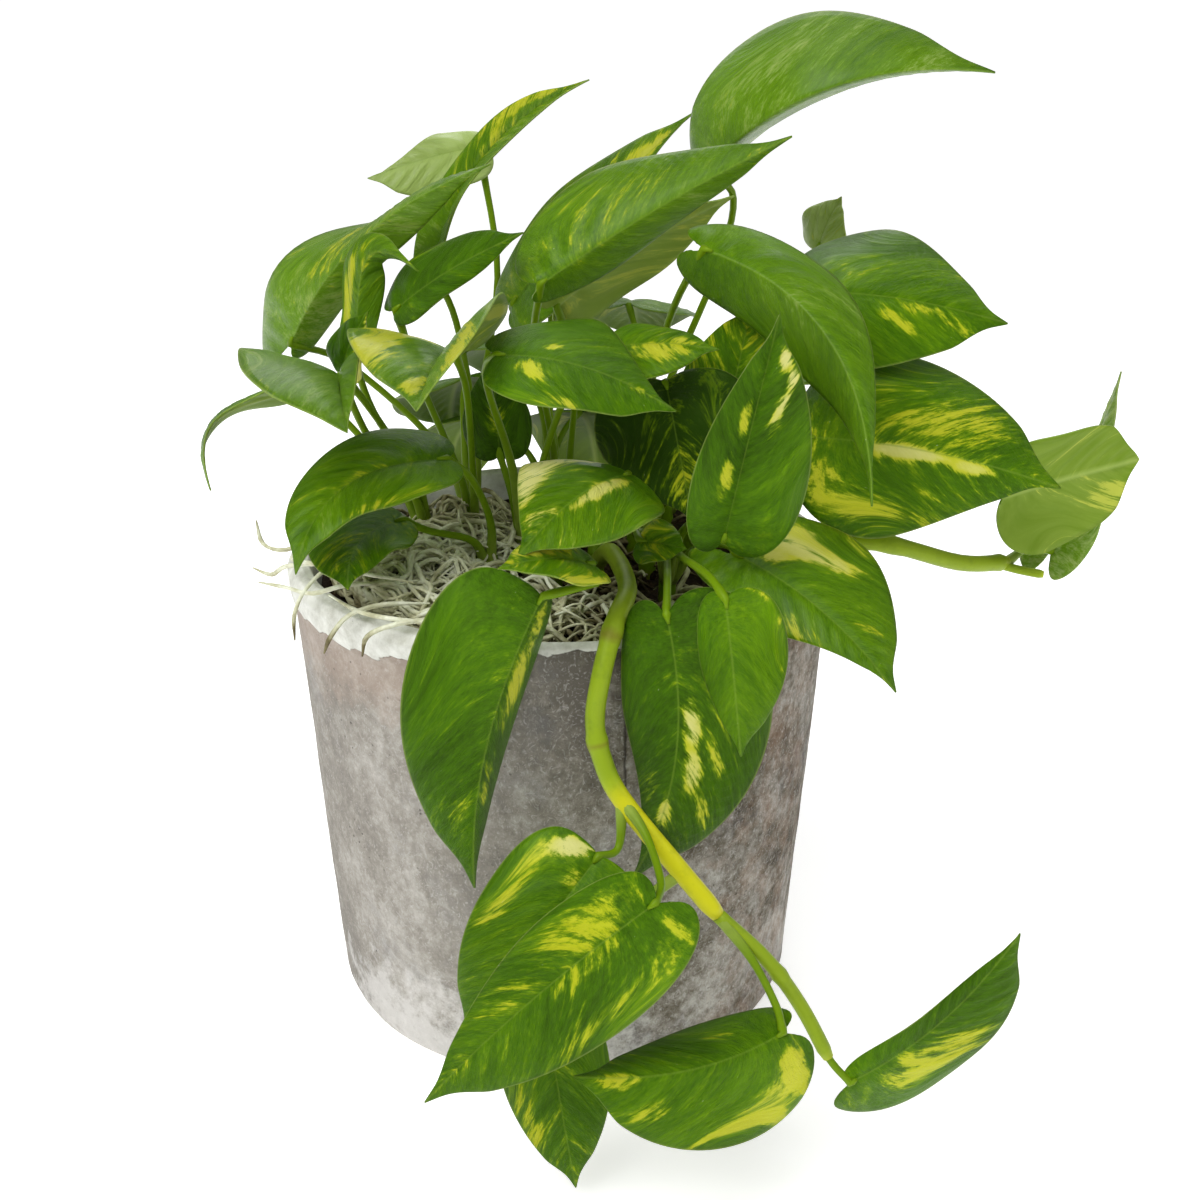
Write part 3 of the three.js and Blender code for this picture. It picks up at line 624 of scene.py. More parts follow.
class Leaf:
    """One leaf. Lengths are in mm, turns in degrees and shares in hundredths.

    base, tip: the ends of its midrib. face: the direction in which its upper face looks.
    halves: the widths of its left and right half. stalk: the points of its stalk.
    arch, bow: how far the midrib curves towards the face and to the side, as shares of its
    length. skew: how far both sit towards the tip. twist: turns the blade round its midrib.
    folds: how far each half is folded up. lobes, fullness: the shape of each half's outline
    beside the notch and near the tip.
    flecks, tone, pale: how marbled, how light and how creamy the whole leaf is. The tone is
    partly the leaf's own lightness and partly painted light: raised for painted sheen on leaves
    that catch the light, lowered for painted shade on leaves deep in the crown.
    marks: for each, how far across and along it lies, how far it spreads both ways, how strong
    and how creamy it is.
    """

    def __init__(self, base, tip, face, halves, stalk, arch, bow=0, skew=0, twist=0, folds=(10, 10),
                 lobes=(7, 7), fullness=(30, 30), flecks=-15, tone=45, pale=15, marks=()):
        self.halves, self.folds = halves, folds
        self.stalk, self.twist = stalk, twist
        self.arch, self.bow, self.skew = arch / 100, bow / 100, skew / 100
        self.flecks, self.tone, self.pale = flecks / 100, tone / 100, pale / 100
        self.marks = [[part / 100 for part in mark] for mark in marks]
        self.base = Vector(base)
        self.chord = Vector(tip) - self.base
        self.length = self.chord.length
        along = self.chord.normalized()
        face = Vector([part / 100 for part in face])
        self.face = (face - along * face.dot(along)).normalized()
        self.side = along.cross(self.face)
        self.edges = []
        for lobe, full in zip(lobes, fullness):
            outline = half_outline(lobe / 100, full / 100)
            self.edges.append([outline_at(row_at(i / BLADE_ROWS), outline) for i in range(BLADE_ROWS + 1)])
        self.middles = []
        for across, name, *_ in self.marks:
            edge = self.edges[0 if across < 0 else 1]
            level = min(range(BLADE_ROWS + 1), key=lambda i: abs(edge[i][3] - name))
            self.middles.append(self.vein(level, across))

    def midrib(self, t):
        lift = 4 * t * (1 - t) * (1 + self.skew * (2 * t - 1))
        arch = self.arch * self.length * lift
        bow = self.bow * self.length * lift
        return self.base + self.chord * t + self.face * arch + self.side * bow

    def point(self, level, column):
        """A point of the blade between its two faces, and how far along the leaf it is."""
        share = abs(column)
        handed = -1 if column < 0 else 1
        half = 0 if column < 0 else 1
        edge_x, edge_y, foot, _ = self.edges[half][level]
        t = foot + (edge_y - foot) * share
        held = min(1, max(0, t))
        tangent = (self.midrib(min(1, held + 0.001)) - self.midrib(max(0, held - 0.001))).normalized()
        centre = self.midrib(held) + tangent * min(0, t) * self.length
        across = tangent.cross(self.face).normalized()
        roll = math.radians(self.twist * smooth(0, 0.6, held))
        across = Quaternion(tangent, -roll) @ across
        normal = across.cross(tangent)
        fold = math.radians(self.folds[half])
        reach = edge_x * self.halves[half]
        turned = fold + MARGIN_CURL * share
        out = reach * (math.sin(turned) - math.sin(fold)) / MARGIN_CURL
        up = reach * (math.cos(fold) - math.cos(turned)) / MARGIN_CURL
        wave = share ** 2 * math.sin(9 * t + 2 * handed + self.halves[0])
        up += MARGIN_WAVE * wave * edge_x + self.relief(level, column, reach)
        return centre + across * handed * out + normal * up, t

    def vein(self, level, column):
        """The share along the midrib at which the side vein through a place leaves it."""
        half = 0 if column < 0 else 1
        edge_x, edge_y, foot, _ = self.edges[half][level]
        t = foot + (edge_y - foot) * abs(column)
        across = abs(column) * edge_x * self.halves[half] / self.length
        sweep = -0.3 + 1.6 * smooth(-0.1, 0.5, t)
        return t - sweep * across * (0.75 + 0.35 * abs(column))

    def relief(self, level, column, reach):
        """The sunk midrib and the faint quilting between the side veins."""
        share = abs(column)
        groove = -0.5 * math.exp(-((share * reach / 1.3) ** 2))
        swell = math.cos(2 * math.pi * self.vein(level, column) * self.length / VEIN_SPACING)
        quilt = 0.28 * swell * smooth(0.03, 0.3, share) * smooth(1, 0.7, share)
        return (groove + quilt) * smooth(1, 0.85, level / BLADE_ROWS)


def marks_at(leaf, column, vein):
    """How yellow and how pale the blade is at a place, from the leaf's own marks."""
    density = leaf.flecks
    pale = leaf.pale
    for (across, _, wide, tall, amount, cream), middle in zip(leaf.marks, leaf.middles):
        reach = ((column - across) / wide) ** 2 + ((vein - middle) / tall) ** 2
        fall = math.exp(-reach * reach)
        density += amount * fall
        pale = max(pale, cream * fall)
    return density, pale


def store(mesh, name, values):
    """Stores three numbers for each point of a mesh, for a material to read."""
    layer = mesh.attributes.new(name, "FLOAT_VECTOR", "POINT")
    layer.data.foreach_set("vector", values)


def grow_blade(leaf, seed):
    """Bends a flat grid into the blade and gives it its two faces and its thickness."""
    bpy.ops.mesh.primitive_grid_add(x_subdivisions=BLADE_COLUMNS, y_subdivisions=BLADE_ROWS, size=2)
    blade = bpy.context.object
    veins = []
    marks = []
    lines = []
    for vertex in blade.data.vertices:
        column = math.copysign(abs(vertex.co.x) ** 1.35, vertex.co.x)
        level = round((vertex.co.y + 1) / 2 * BLADE_ROWS)
        place, t = leaf.point(level, column)
        vertex.co = place * MM
        side = 0 if column < 0 else 1
        half = leaf.halves[side] / CM
        edge_x = leaf.edges[side][level][0]
        vein = leaf.vein(level, column)
        density, pale = marks_at(leaf, column, vein)
        veins += [column * (0.3 + 0.7 * edge_x) * half, vein * leaf.length / CM, seed * 7.3]
        marks += [density, pale, leaf.tone]
        lines += [column * edge_x * half, column, t]
    store(blade.data, "veins", veins)
    store(blade.data, "marks", marks)
    store(blade.data, "lines", lines)
    blade.data.materials.append(leaf_upper)
    blade.data.materials.append(leaf_under)
    shell = blade.modifiers.new("shell", "SOLIDIFY")
    shell.thickness = BLADE_THICKNESS * MM
    shell.offset = 0
    shell.material_offset = 1
    bpy.ops.object.modifier_apply(modifier=shell.name)
    bpy.ops.object.shade_smooth()
    return blade


def grow_tube(route, radius_at, tint_at, sides=12, tongue=()):
    """A round stalk along a route in mm. Its radius and tints go by the share along it."""
    line = [*sampled([Vector(point) for point in route], 6), *tongue]
    last = len(line) - 1
    bpy.ops.mesh.primitive_grid_add(x_subdivisions=sides, y_subdivisions=last, size=2)
    tube = bpy.context.object
    tangents = [(line[min(i + 1, last)] - line[max(i - 1, 0)]).normalized() for i in range(last + 1)]
    normals = [tangents[0].orthogonal().normalized()]
    for before, after in zip(tangents, tangents[1:]):
        normals.append(before.rotation_difference(after) @ normals[-1])
    bark = []
    for vertex in tube.data.vertices:
        share = (vertex.co.y + 1) / 2
        i = round(share * last)
        turn = Quaternion(tangents[i], math.pi * vertex.co.x)
        out = turn @ normals[i]
        vertex.co = (line[i] + out * radius_at(share)) * MM
        bark += tint_at(share)
    store(tube.data, "bark", bark)
    tube.data.materials.append(stalk_skin)
    edit(
        (bpy.ops.mesh.remove_doubles, {"threshold": 1e-6}),
        (bpy.ops.mesh.fill_holes, {"sides": 0}),
        (bpy.ops.mesh.normals_make_consistent, {"inside": False}),
    )
    bpy.ops.object.shade_smooth()
    return tube


def stalk_radius(share):
    """A clasping foot, a slim middle and a thicker joint just below the blade."""
    foot = 0.75 * smooth(0.42, 0.0, share)
    joint = 0.3 * math.exp(-(((share - 0.86) / 0.05) ** 2))
    return 1.2 + foot + joint - 0.75 * smooth(0.9, 1.0, share)


leaf_upper, start = new_material("leaf_upper_face")
veins = start.attribute("veins", 1)
marks = start.attribute("marks", 1)
lines = start.attribute("lines", 1)
density, pale, tone = marks.part(0), marks.part(1), marks.part(2)
broad = veins.stretched(0.7, 1.9, 1).grain(1, 5, 0.6, 0.5)
thin = veins.stretched(1.6, 7, 1).grain(1, 4, 0.7, 0.3)
dapple = veins.stretched(4.5, 6, 1).grain(1, 4, 0.7)
field = (broad - 0.5) * 2.3 + (thin - 0.5) * 1.3 + (dapple - 0.5) * 1.1 + 0.5 + density
yellow = ((field - 1) * 3.6 + 0.5).clamp()
halo = ((field - 0.66) * 2.2 + 0.15).clamp()
sway = veins.stretched(0.3, 0.5, 1).grain(1, 3, 0.5)
fibre = veins.stretched(6, 26, 1).grain(1, 4, 0.75)
shade = (sway - 0.5) * 0.7 + (broad - 0.5) * 0.6 + (dapple - 0.5) * 0.6 + (fibre - 0.5) * 0.6 + 0.08
# The tone sets each leaf's green. The lightest stop, a greyish pale green, is painted sheen.
green = (tone + shade).ramp(
    (0.0, (32, 64, 0)),
    (0.4, (68, 112, 0)),
    (0.75, (102, 146, 0)),
    (1.0, (164, 188, 100)),
)
ribs = (veins.part(1) * RIB_WAVES + (broad - 0.5) * 2).math("COSINE")
midrib = lines.part(0).near(0, 20)
margin = lines.part(1).size().above(0.975, 50)
# The darker bands between the side veins are painted shade in the hollows of the quilting.
surface = green.mixed((30, 66, 0), (ribs * -0.5 - 0.1).clamp() * 0.42)
surface = surface.mixed((126, 160, 12), halo * 0.85)
patch = (pale + (dapple - 0.5) * 0.4).ramp(
    (0.0, (184, 194, 6)),
    (0.5, (210, 212, 62)),
    (1.0, (230, 228, 142)),
)
surface = surface.mixed(patch, yellow)
surface = surface.mixed((128, 160, 54), midrib * 0.45)
surface = surface.mixed((170, 190, 96), margin * 0.45)
skin = veins.grain(60, 2)
dust = (1 - veins.spots(3).above(0, 15)) * dapple.above(0.53, 20)
surface = surface.mixed((214, 222, 190), dust * 0.7)
dress(leaf_upper, {
    "Base Color": surface,
    "Specular IOR Level": 0.34,
    "Specular Tint": (0.75, 1, 0.25, 1),
    "Roughness": 0.27 + skin * 0.14 + yellow * 0.05,
    "Coat Weight": tone.above(0.4, 4) * 0.3,
    "Coat Roughness": 0.22,
    "Normal": (skin * 0.2 + ribs * 0.8 + broad * 1.3 + thin * 0.8 + fibre * 0.4).bump(0.9, 0.0012),
})

leaf_under, start = new_material("leaf_under_face")
marks = start.attribute("marks", 1)
veins = start.attribute("veins", 1)
lines = start.attribute("lines", 1)
broad = veins.stretched(0.55, 1.9, 1).grain(1, 4, 0.6, 0.35)
thin = veins.stretched(1.7, 8, 1).grain(1, 4, 0.7, 0.2)
field = (broad - 0.5) * 2.3 + (thin - 0.5) * 1.9 + 0.5 + marks.part(0)
# The tone carries painted sheen and painted shade on the under face too.
green = (marks.part(2) + (broad - 0.5) * 0.8).ramp(
    (0.0, (54, 86, 0)),
    (0.5, (88, 120, 6)),
    (1.0, (140, 162, 66)),
)
ribs = (veins.part(1) * RIB_WAVES).math("COSINE")
midrib = lines.part(0).near(0, 7)
surface = green.mixed((186, 190, 72), ((field - 0.9) * 3 + 0.3).clamp() * 0.9)
surface = surface.mixed((164, 188, 84), (ribs * 4 - 3.1).clamp() * 0.45)
surface = surface.mixed((164, 184, 96), midrib * 0.6)
dress(leaf_under, {
    "Base Color": surface,
    "Specular IOR Level": 0.2,
    "Specular Tint": (0.75, 1, 0.35, 1),
    "Roughness": 0.5,
    "Normal": (ribs * 0.4 + veins.grain(40, 2) * 0.4).bump(0.3, 0.0004),
})

stalk_skin, start = new_material("stalk_skin")
bark = start.attribute("bark", 1)
spot = start.place()
grain = spot.grain(160, 3)
surface = bark.part(0).ramp(
    (0.0, (70, 104, 6)),
    (0.4, (112, 144, 10)),
    (0.7, (158, 178, 20)),
    (1.0, (208, 204, 10)),
)
surface = surface.mixed((184, 196, 104), bark.part(2) * 0.8)
surface = surface.mixed((74, 104, 34), grain.above(0.5, 3) * 0.4)
scar = (bark.part(1) * 1.2 + (grain - 0.5) * 1.6 - 0.2).clamp()
surface = surface.mixed((118, 100, 40), scar * 0.6)
dress(stalk_skin, {
    "Base Color": surface,
    "Specular IOR Level": 0.3,
    "Specular Tint": (0.85, 1, 0.4, 1),
    "Roughness": 0.36 + grain * 0.1,
    "Normal": spot.grain(700, 3).bump(0.25, 0.0003),
})

leaf_numbers = itertools.count(1)
# The foot of every stem stands in the compost, and its stalks leave it among the moss.
FOOT_HEIGHTS = (135, 148, 160, 172)
STALKS_LEAVE = 166


def grow_stem(name, crown, leaves, shoots=()):
    """Grows a stem's foot at the crown, its shoots, stalks and blades, joined as they grow."""
    foot = Vector((*crown, 0))
    limbs = [grow_tube(
        [foot + Vector((0, 0, height)) for height in FOOT_HEIGHTS],
        lambda share: 3.6 - 0.8 * share - 2.4 * smooth(0.94, 1, share),
        lambda share: (0.25, 0.8 * smooth(0.75, 0.6, share), 0),
    )]
    for shoot in shoots:
        limbs.append(grow_shoot(**shoot))
    for leaf in leaves:
        first = Vector(leaf.stalk[0])
        lead = (Vector((first.x, first.y, 0)) - foot).normalized() * 1.8
        start_points = [] if shoots else [foot + lead + Vector((0, 0, STALKS_LEAVE))]
        limbs.append(grow_tube(
            [*start_points, *leaf.stalk, leaf.base],
            stalk_radius,
            lambda share: (STALK_TINT, 0, 0.5 * smooth(0.35, 0, share)),
            tongue=[leaf.midrib(reach / leaf.length) for reach in (1, 2.5)],
        ))
        limbs.append(grow_blade(leaf, next(leaf_numbers)))
    bpy.ops.object.select_all(action="DESELECT")
    for limb in limbs:
        limb.select_set(True)
    bpy.context.view_layer.objects.active = limbs[0]
    bpy.ops.object.join()
    plant = bpy.context.object
    plant.name = name.replace("_stem", "_foliage")
    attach(plant, "root")
    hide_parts(name)


def grow_shoot(radius, path, nodes=(), yellow=(1, 1)):
    """A length of vine with a ring and a scar at each node, and its yellow stretch."""
    def girth(share):
        rings = sum(math.exp(-(((share - node) / 0.013) ** 2)) for node in nodes)
        return radius * (1 + 0.22 * rings) * (1 - 0.25 * smooth(0.97, 1, share))

    def tints(share):
        scars = sum(math.exp(-(((share - node - 0.008) / 0.007) ** 2)) for node in nodes)
        bright = smooth(yellow[0] - 0.04, yellow[0] + 0.04, share)
        return 0.54 + 0.46 * bright * smooth(yellow[1] + 0.03, yellow[1], share), scars, 0.1

    return grow_tube(path, girth, tints, 16)


# Front trailing stem
# The longest vine. It climbs out of the moss, folds over the front of the lip and hangs down
# almost to the floor, with five marbled leaves. One stretch of it has grown bright yellow.
grow_stem("front_trailing_stem", crown=(12, -14), shoots=[
    dict(radius=3, nodes=(0.36, 0.62), yellow=(0.75, 0.995), path=[
        (12, -14, 164), (17, -38, 177), (22, -72, 178), (18, -93, 175), (14, -102, 162), (12, -104, 148),
        (14, -107, 137), (20, -111, 125), (38, -118, 104), (49, -121, 91),
    ]),
    dict(radius=2.3, nodes=(0.03, 0.45), path=[
        (49, -121, 91), (64, -122, 76), (75, -123, 60), (84, -126, 43),
    ]),
], leaves=[
    Leaf((13, -122, 112), (-27, -138, 58), (-20, -90, 40), (19, 22), arch=8, lobes=(2, 2),
         fullness=(60, 60), flecks=-12, stalk=[(20, -111, 125), (19, -117, 112)],
         marks=[(50, -3, 32, 5.5, 95, 100), (75, 35, 25, 8, 55, 30), (10, 12, 15, 5, 45, 40)]),
    Leaf((29, -146, 111), (-37, -158, 52), (-15, -85, 50), (23, 16), arch=6, bow=2, folds=(0, 12),
         lobes=(10, 3), fullness=(50, 0), flecks=-10, tone=36,
         stalk=[(20, -111, 125), (27, -120, 118), (31, -136, 112)],
         marks=[(-60, -2, 30, 7, 50, 20), (40, 15, 45, 14, 50, 15), (45, 50, 45, 14, 42, 10),
                (20, 85, 60, 12, 40, 10), (-12, 30, 12, 14, 35, 10), (-80, 30, 20, 10, 40, 20)]),
    Leaf((-3, -128, 61), (6, -140, 5), (0, -95, 40), (17, 17), arch=6, folds=(5, 5), flecks=0, tone=35,
         stalk=[(38, -118, 104), (22, -118, 90), (6, -124, 76)],
         marks=[(80, 50, 25, 30, 40, 20)]),
    Leaf((68, -138, 61), (6, -158, 61), (0, -85, 55), (25, 19), arch=6, bow=-7, folds=(0, -45),
         lobes=(14, 14), fullness=(60, 60), tone=40, stalk=[(49, -121, 91), (59, -126, 79), (66, -134, 68)],
         marks=[(-60, -2, 38, 7, 100, 45), (-10, 80, 45, 10, 80, 30), (-60, 60, 30, 8, 80, 30),
                (-55, 27, 15, 4, 50, 20), (50, 20, 15, 4, 40, 20)]),
    Leaf((91, -128, 35), (137, -132, 92), (25, -85, 40), (6, 19), arch=4, bow=4.5, folds=(0, 0),
         lobes=(0, 16), fullness=(30, 80), flecks=-20, tone=30, stalk=[(75, -123, 60), (84, -126, 43)],
         marks=[(50, 28, 50, 20, 90, 35)]),
])


# Front left stem
# A short stem at the front. Its largest leaf hangs over the lip, and two more lean out over
# the moss.
grow_stem("front_left_stem", crown=(-2, -30), leaves=[
    Leaf((22, -68, 213), (-10, -112, 202), (-10, -60, 80), (20, 26), arch=12, folds=(0, 0),
         fullness=(50, -20), flecks=-5, tone=50, pale=50, stalk=[(2, -34, 182), (14, -50, 200)],
         marks=[(85, 45, 32, 40, 85, 100), (-14, 35, 16, 26, 80, 80), (40, 75, 50, 14, 60, 70)]),
    Leaf((11, -95, 194), (-15, -118, 201), (-10, -60, 80), (10, 10), arch=10, lobes=(20, 20), flecks=5,
         tone=50, stalk=[(2, -42, 180), (9, -72, 188)],
         marks=[(60, 55, 45, 40, 85, 60), (-90, 20, 20, 20, 60, 50)]),
    Leaf((-3, -108, 189), (-24, -120, 100), (10, -100, 30), (21, 29), arch=8, bow=7, folds=(-55, 0),
         lobes=(2, 2), fullness=(20, 20), flecks=-20, tone=25,
         stalk=[(2, -48, 178), (12, -84, 185), (10, -99, 189)],
         marks=[(-32, 16, 26, 20, 85, 50), (40, 75, 30, 12, 30, 30), (-30, 60, 20, 12, 50, 30)]),
])


# Low left stem
# A short stem on the left. One arched leaf and a smaller one below it shade the lip.
grow_stem("low_left_stem", crown=(-24, -22), leaves=[
    Leaf((-35, -48, 212), (-77, -88, 188), (-20, -60, 75), (16, 17), arch=10, bow=17, skew=10,
         fullness=(40, 40), tone=50, stalk=[(-23, -28, 184), (-28, -40, 203)],
         marks=[(-90, 40, 12, 30, 50, 30), (5, 40, 10, 15, 45, 30)]),
    Leaf((-50, -46, 191), (-63, -80, 180), (-10, -50, 85), (12, 19), arch=8, bow=15, folds=(0, 5),
         fullness=(50, 50), flecks=10, tone=40, stalk=[(-29, -30, 178), (-42, -40, 185)]),
])


# Far left stem
# A stem that leans to the far left, with a leaf bent over, a small one in front of it, a
# broad one held flat and a narrow one that hangs down edge on.
grow_stem("far_left_stem", crown=(-46, -4), leaves=[
    Leaf((-68, -18, 241), (-43, -33, 268), (-20, -80, 50), (11, 8), arch=5, bow=-36, skew=80,
         folds=(0, -40), flecks=-2, tone=50, stalk=[(-49, -5, 190), (-63, -7, 216)],
         marks=[(-50, 35, 30, 30, 80, 30), (0, 60, 25, 22, 60, 20)]),
    Leaf((-69, -30, 235), (-59, -36, 256), (-30, -80, 50), (8, 8), arch=10, flecks=0, tone=40,
         stalk=[(-48, -9, 188), (-58, -20, 214)],
         marks=[(85, 50, 35, 70, 90, 80)]),
    Leaf((-69, -36, 236), (-59, -89, 232), (-10, -25, 100), (11, 31), arch=10, folds=(55, 36),
         lobes=(7, 42), fullness=(30, 120), flecks=-28, tone=60, stalk=[(-50, -12, 188), (-62, -26, 212)],
         marks=[(95, 60, 8, 30, 50, 20)]),
    Leaf((-87, 2, 223), (-116, -25, 194), (-75, 5, 65), (15, 15), arch=27, skew=60, flecks=-30, tone=55,
         stalk=[(-54, -5, 186), (-70, -3, 208)]),
])


# Upper left stem
# A stem with a long leaf folded along its midrib, a darker leaf in front of it and a broad
# one held towards the viewer.
grow_stem("upper_left_stem", crown=(-30, -2), leaves=[
    Leaf((-91, 0, 238), (-21, -12, 298), (-45, -65, 55), (34, 12), arch=10, bow=-5, twist=40,
         folds=(5, -80), lobes=(20, 7), fullness=(50, 50), flecks=-5, tone=66,
         stalk=[(-42, 12, 196), (-74, 18, 226)],
         marks=[(-40, 35, 35, 14, 45, 20)]),
    Leaf((-52, -22, 254), (-10, -34, 280), (-35, -70, 60), (15, 8), arch=6, folds=(0, 0), lobes=(13, 5),
         flecks=-25, tone=25, stalk=[(-34, -4, 190), (-46, -10, 226)],
         marks=[(-95, 20, 10, 10, 50, 20)]),
    Leaf((-32, -35, 242), (-39, -88, 238), (-10, -30, 100), (26, 30), arch=10, folds=(55, 32),
         lobes=(35, 18), fullness=(120, 50), flecks=0, tone=62, stalk=[(-30, -8, 192), (-30, -22, 226)],
         marks=[(85, 50, 45, 28, 90, 40), (40, 80, 45, 12, 75, 40), (-85, 60, 30, 30, 75, 40),
                (50, 0, 30, 4, 60, 30)]),
])


# Back left stem
# A tall stem at the back left, with a narrow upright leaf, a pale young one behind it and
# one that looks to the back.
grow_stem("back_left_stem", crown=(-34, 22), leaves=[
    Leaf((-45, 25, 258), (10, 10, 322), (-50, -60, 60), (9, 13), arch=6, bow=-12, folds=(40, 40), flecks=0,
         tone=62, stalk=[(-31, 22, 200), (-37, 25, 240)],
         marks=[(-80, 65, 30, 30, 60, 30), (-30, 50, 30, 14, 50, 30)]),
    Leaf((-30, 62, 296), (-69, 50, 286), (-20, -80, 50), (14, 10), arch=5, folds=(0, 0), lobes=(10, 10),
         fullness=(100, -100), flecks=-30, tone=110, stalk=[(-32, 36, 200), (-24, 54, 250)]),
    Leaf((-36, 50, 214), (-48, 104, 178), (-30, 60, 80), (27, 27), arch=10, folds=(5, 5),
         stalk=[(-36, 32, 188), (-37, 42, 206)]),
])


# Centre stem
# A stem in the middle, with the dark pointed leaf in front, a brightly marbled one behind it
# and a small leaf low between the stalks.
grow_stem("centre_stem", crown=(-12, -10), leaves=[
    Leaf((-17, -60, 248), (35, -92, 239), (10, -60, 80), (25, 16), arch=6, bow=-4, folds=(0, 0),
         lobes=(16, 4), fullness=(-80, 100), flecks=-20, tone=34,
         stalk=[(-16, -18, 200), (-22, -38, 232), (-21, -50, 243)],
         marks=[(30, 18, 25, 8, 85, 40), (-20, 27, 8, 4, 80, 40), (0, 76, 35, 8, 70, 30),
                (90, 35, 15, 12, 55, 40)]),
    Leaf((14, -40, 245), (49, -62, 250), (0, -70, 70), (8, 15), arch=8, folds=(5, 5), flecks=0,
         stalk=[(-8, -14, 192), (2, -28, 226)],
         marks=[(30, 55, 40, 30, 65, 35), (-30, 70, 30, 15, 40, 30)]),
    Leaf((-21, -3, 200), (-23, 4, 232), (-10, -90, 30), (12, 12), arch=6, flecks=-20, tone=10,
         stalk=[(-17, -6, 186)],
         marks=[(0, 40, 30, 15, 55, 30)]),
])


# Tall centre stem
# A tall stem in the middle. Its large leaf leans right, with one seen from below under it and
# a narrow one behind.
grow_stem("tall_centre_stem", crown=(0, 14), leaves=[
    Leaf((-5, -32, 264), (72, -28, 308), (-25, -70, 65), (26, 12), arch=4, folds=(8, -68),
         fullness=(-20, 30), flecks=-8, tone=55, stalk=[(-3, 8, 200), (-8, -14, 240)],
         marks=[(-40, 25, 45, 25, 32, 0)]),
    Leaf((-1, -5, 252), (57, -3, 287), (-20, 70, 70), (20, 14), arch=5, flecks=15, tone=85, pale=40,
         stalk=[(3, 12, 196), (5, 2, 228)]),
    Leaf((-17, 24, 247), (45, 21, 311), (-50, -60, 60), (19, 20), arch=4, fullness=(30, -100), flecks=5,
         tone=50, stalk=[(-3, 18, 200), (-9, 22, 230)],
         marks=[(0, 75, 60, 20, 80, 40)]),
])


# Tall right stem
# The tallest stem, with the topmost leaf arching to the right and a long drooping one with
# a drawn out tip.
grow_stem("tall_right_stem", crown=(26, 14), leaves=[
    Leaf((48, 0, 294), (134, -20, 326), (4, -90, -39), (33, 35), arch=10, bow=-20, folds=(-56, -48),
         flecks=-22, tone=60, stalk=[(34, 20, 208), (53, 24, 256), (58, 12, 284)],
         marks=[(-30, 10, 30, 10, 20, 10)]),
    Leaf((45, -45, 277), (90, -105, 215), (30, -75, 60), (23, 22), arch=12, bow=-11.5, folds=(0, -75),
         lobes=(12, 12), fullness=(-100, 0), flecks=-30, tone=52, stalk=[(28, 4, 206), (36, -18, 250)]),
])


# Right stem
# A stem on the right, with the most strongly marbled leaf and a young thin one at its end.
grow_stem("right_stem", crown=(46, 6), leaves=[
    Leaf((77, -10, 257), (140, -40, 253), (5, -75, 65), (31, 26), arch=8, folds=(0, 0), lobes=(12, 12),
         fullness=(0, 50), flecks=-12, tone=38, stalk=[(52, 2, 196), (66, -4, 236)],
         marks=[(15, 62, 14, 10, 55, 20), (42, 50, 24, 6, 65, 25), (50, 75, 40, 8, 35, 20)]),
    Leaf((89, 27, 265), (96, 25, 283), (-50, -50, 50), (12, 11), arch=8, flecks=10, tone=110, pale=50,
         stalk=[(56, 14, 198), (74, 24, 236)]),
    Leaf((79, -44, 218), (156, -60, 206), (0, -75, 65), (33, 31), arch=9, folds=(8, -25),
         fullness=(50, -30), flecks=5, tone=35, stalk=[(54, -8, 186), (70, -28, 208)],
         marks=[(6, 40, 10, 18, 95, 90), (15, 65, 15, 10, 80, 70), (-50, 50, 40, 20, 50, 30),
                (50, 3, 25, 6, 45, 30), (75, 22, 20, 6, 45, 30)]),
    Leaf((147, -28, 193), (195, -15, 202), (-10, 95, 10), (24, 18), arch=2, folds=(5, 5),
         fullness=(100, 170), flecks=-5, tone=60, stalk=[(58, 0, 184), (90, -12, 206), (124, -24, 206)],
         marks=[(-80, 72, 40, 22, 60, 40)]),
])


# Right trailing stem
# A vine that reaches out level to the right, past the lip, with one upright leaf at its end
# and a short bare spur below it.
grow_stem("right_trailing_stem", crown=(54, -22), shoots=[
    dict(radius=2.8, nodes=(0.55, 0.97), path=[
        (54, -22, 164), (72, -32, 178), (104, -40, 181), (134, -29, 170), (153, -18, 166),
    ]),
    dict(radius=1.5, path=[
        (148, -20, 166.5), (157, -20, 164), (165, -22, 163),
    ]),
], leaves=[
    Leaf((172, -4, 165), (195, 14, 225), (-50, -80, 20), (15, 13), arch=-4, twist=65, folds=(0, 0),
         lobes=(15, 15), flecks=-30, tone=70, stalk=[(153, -18, 166), (161, -11, 168)]),
])


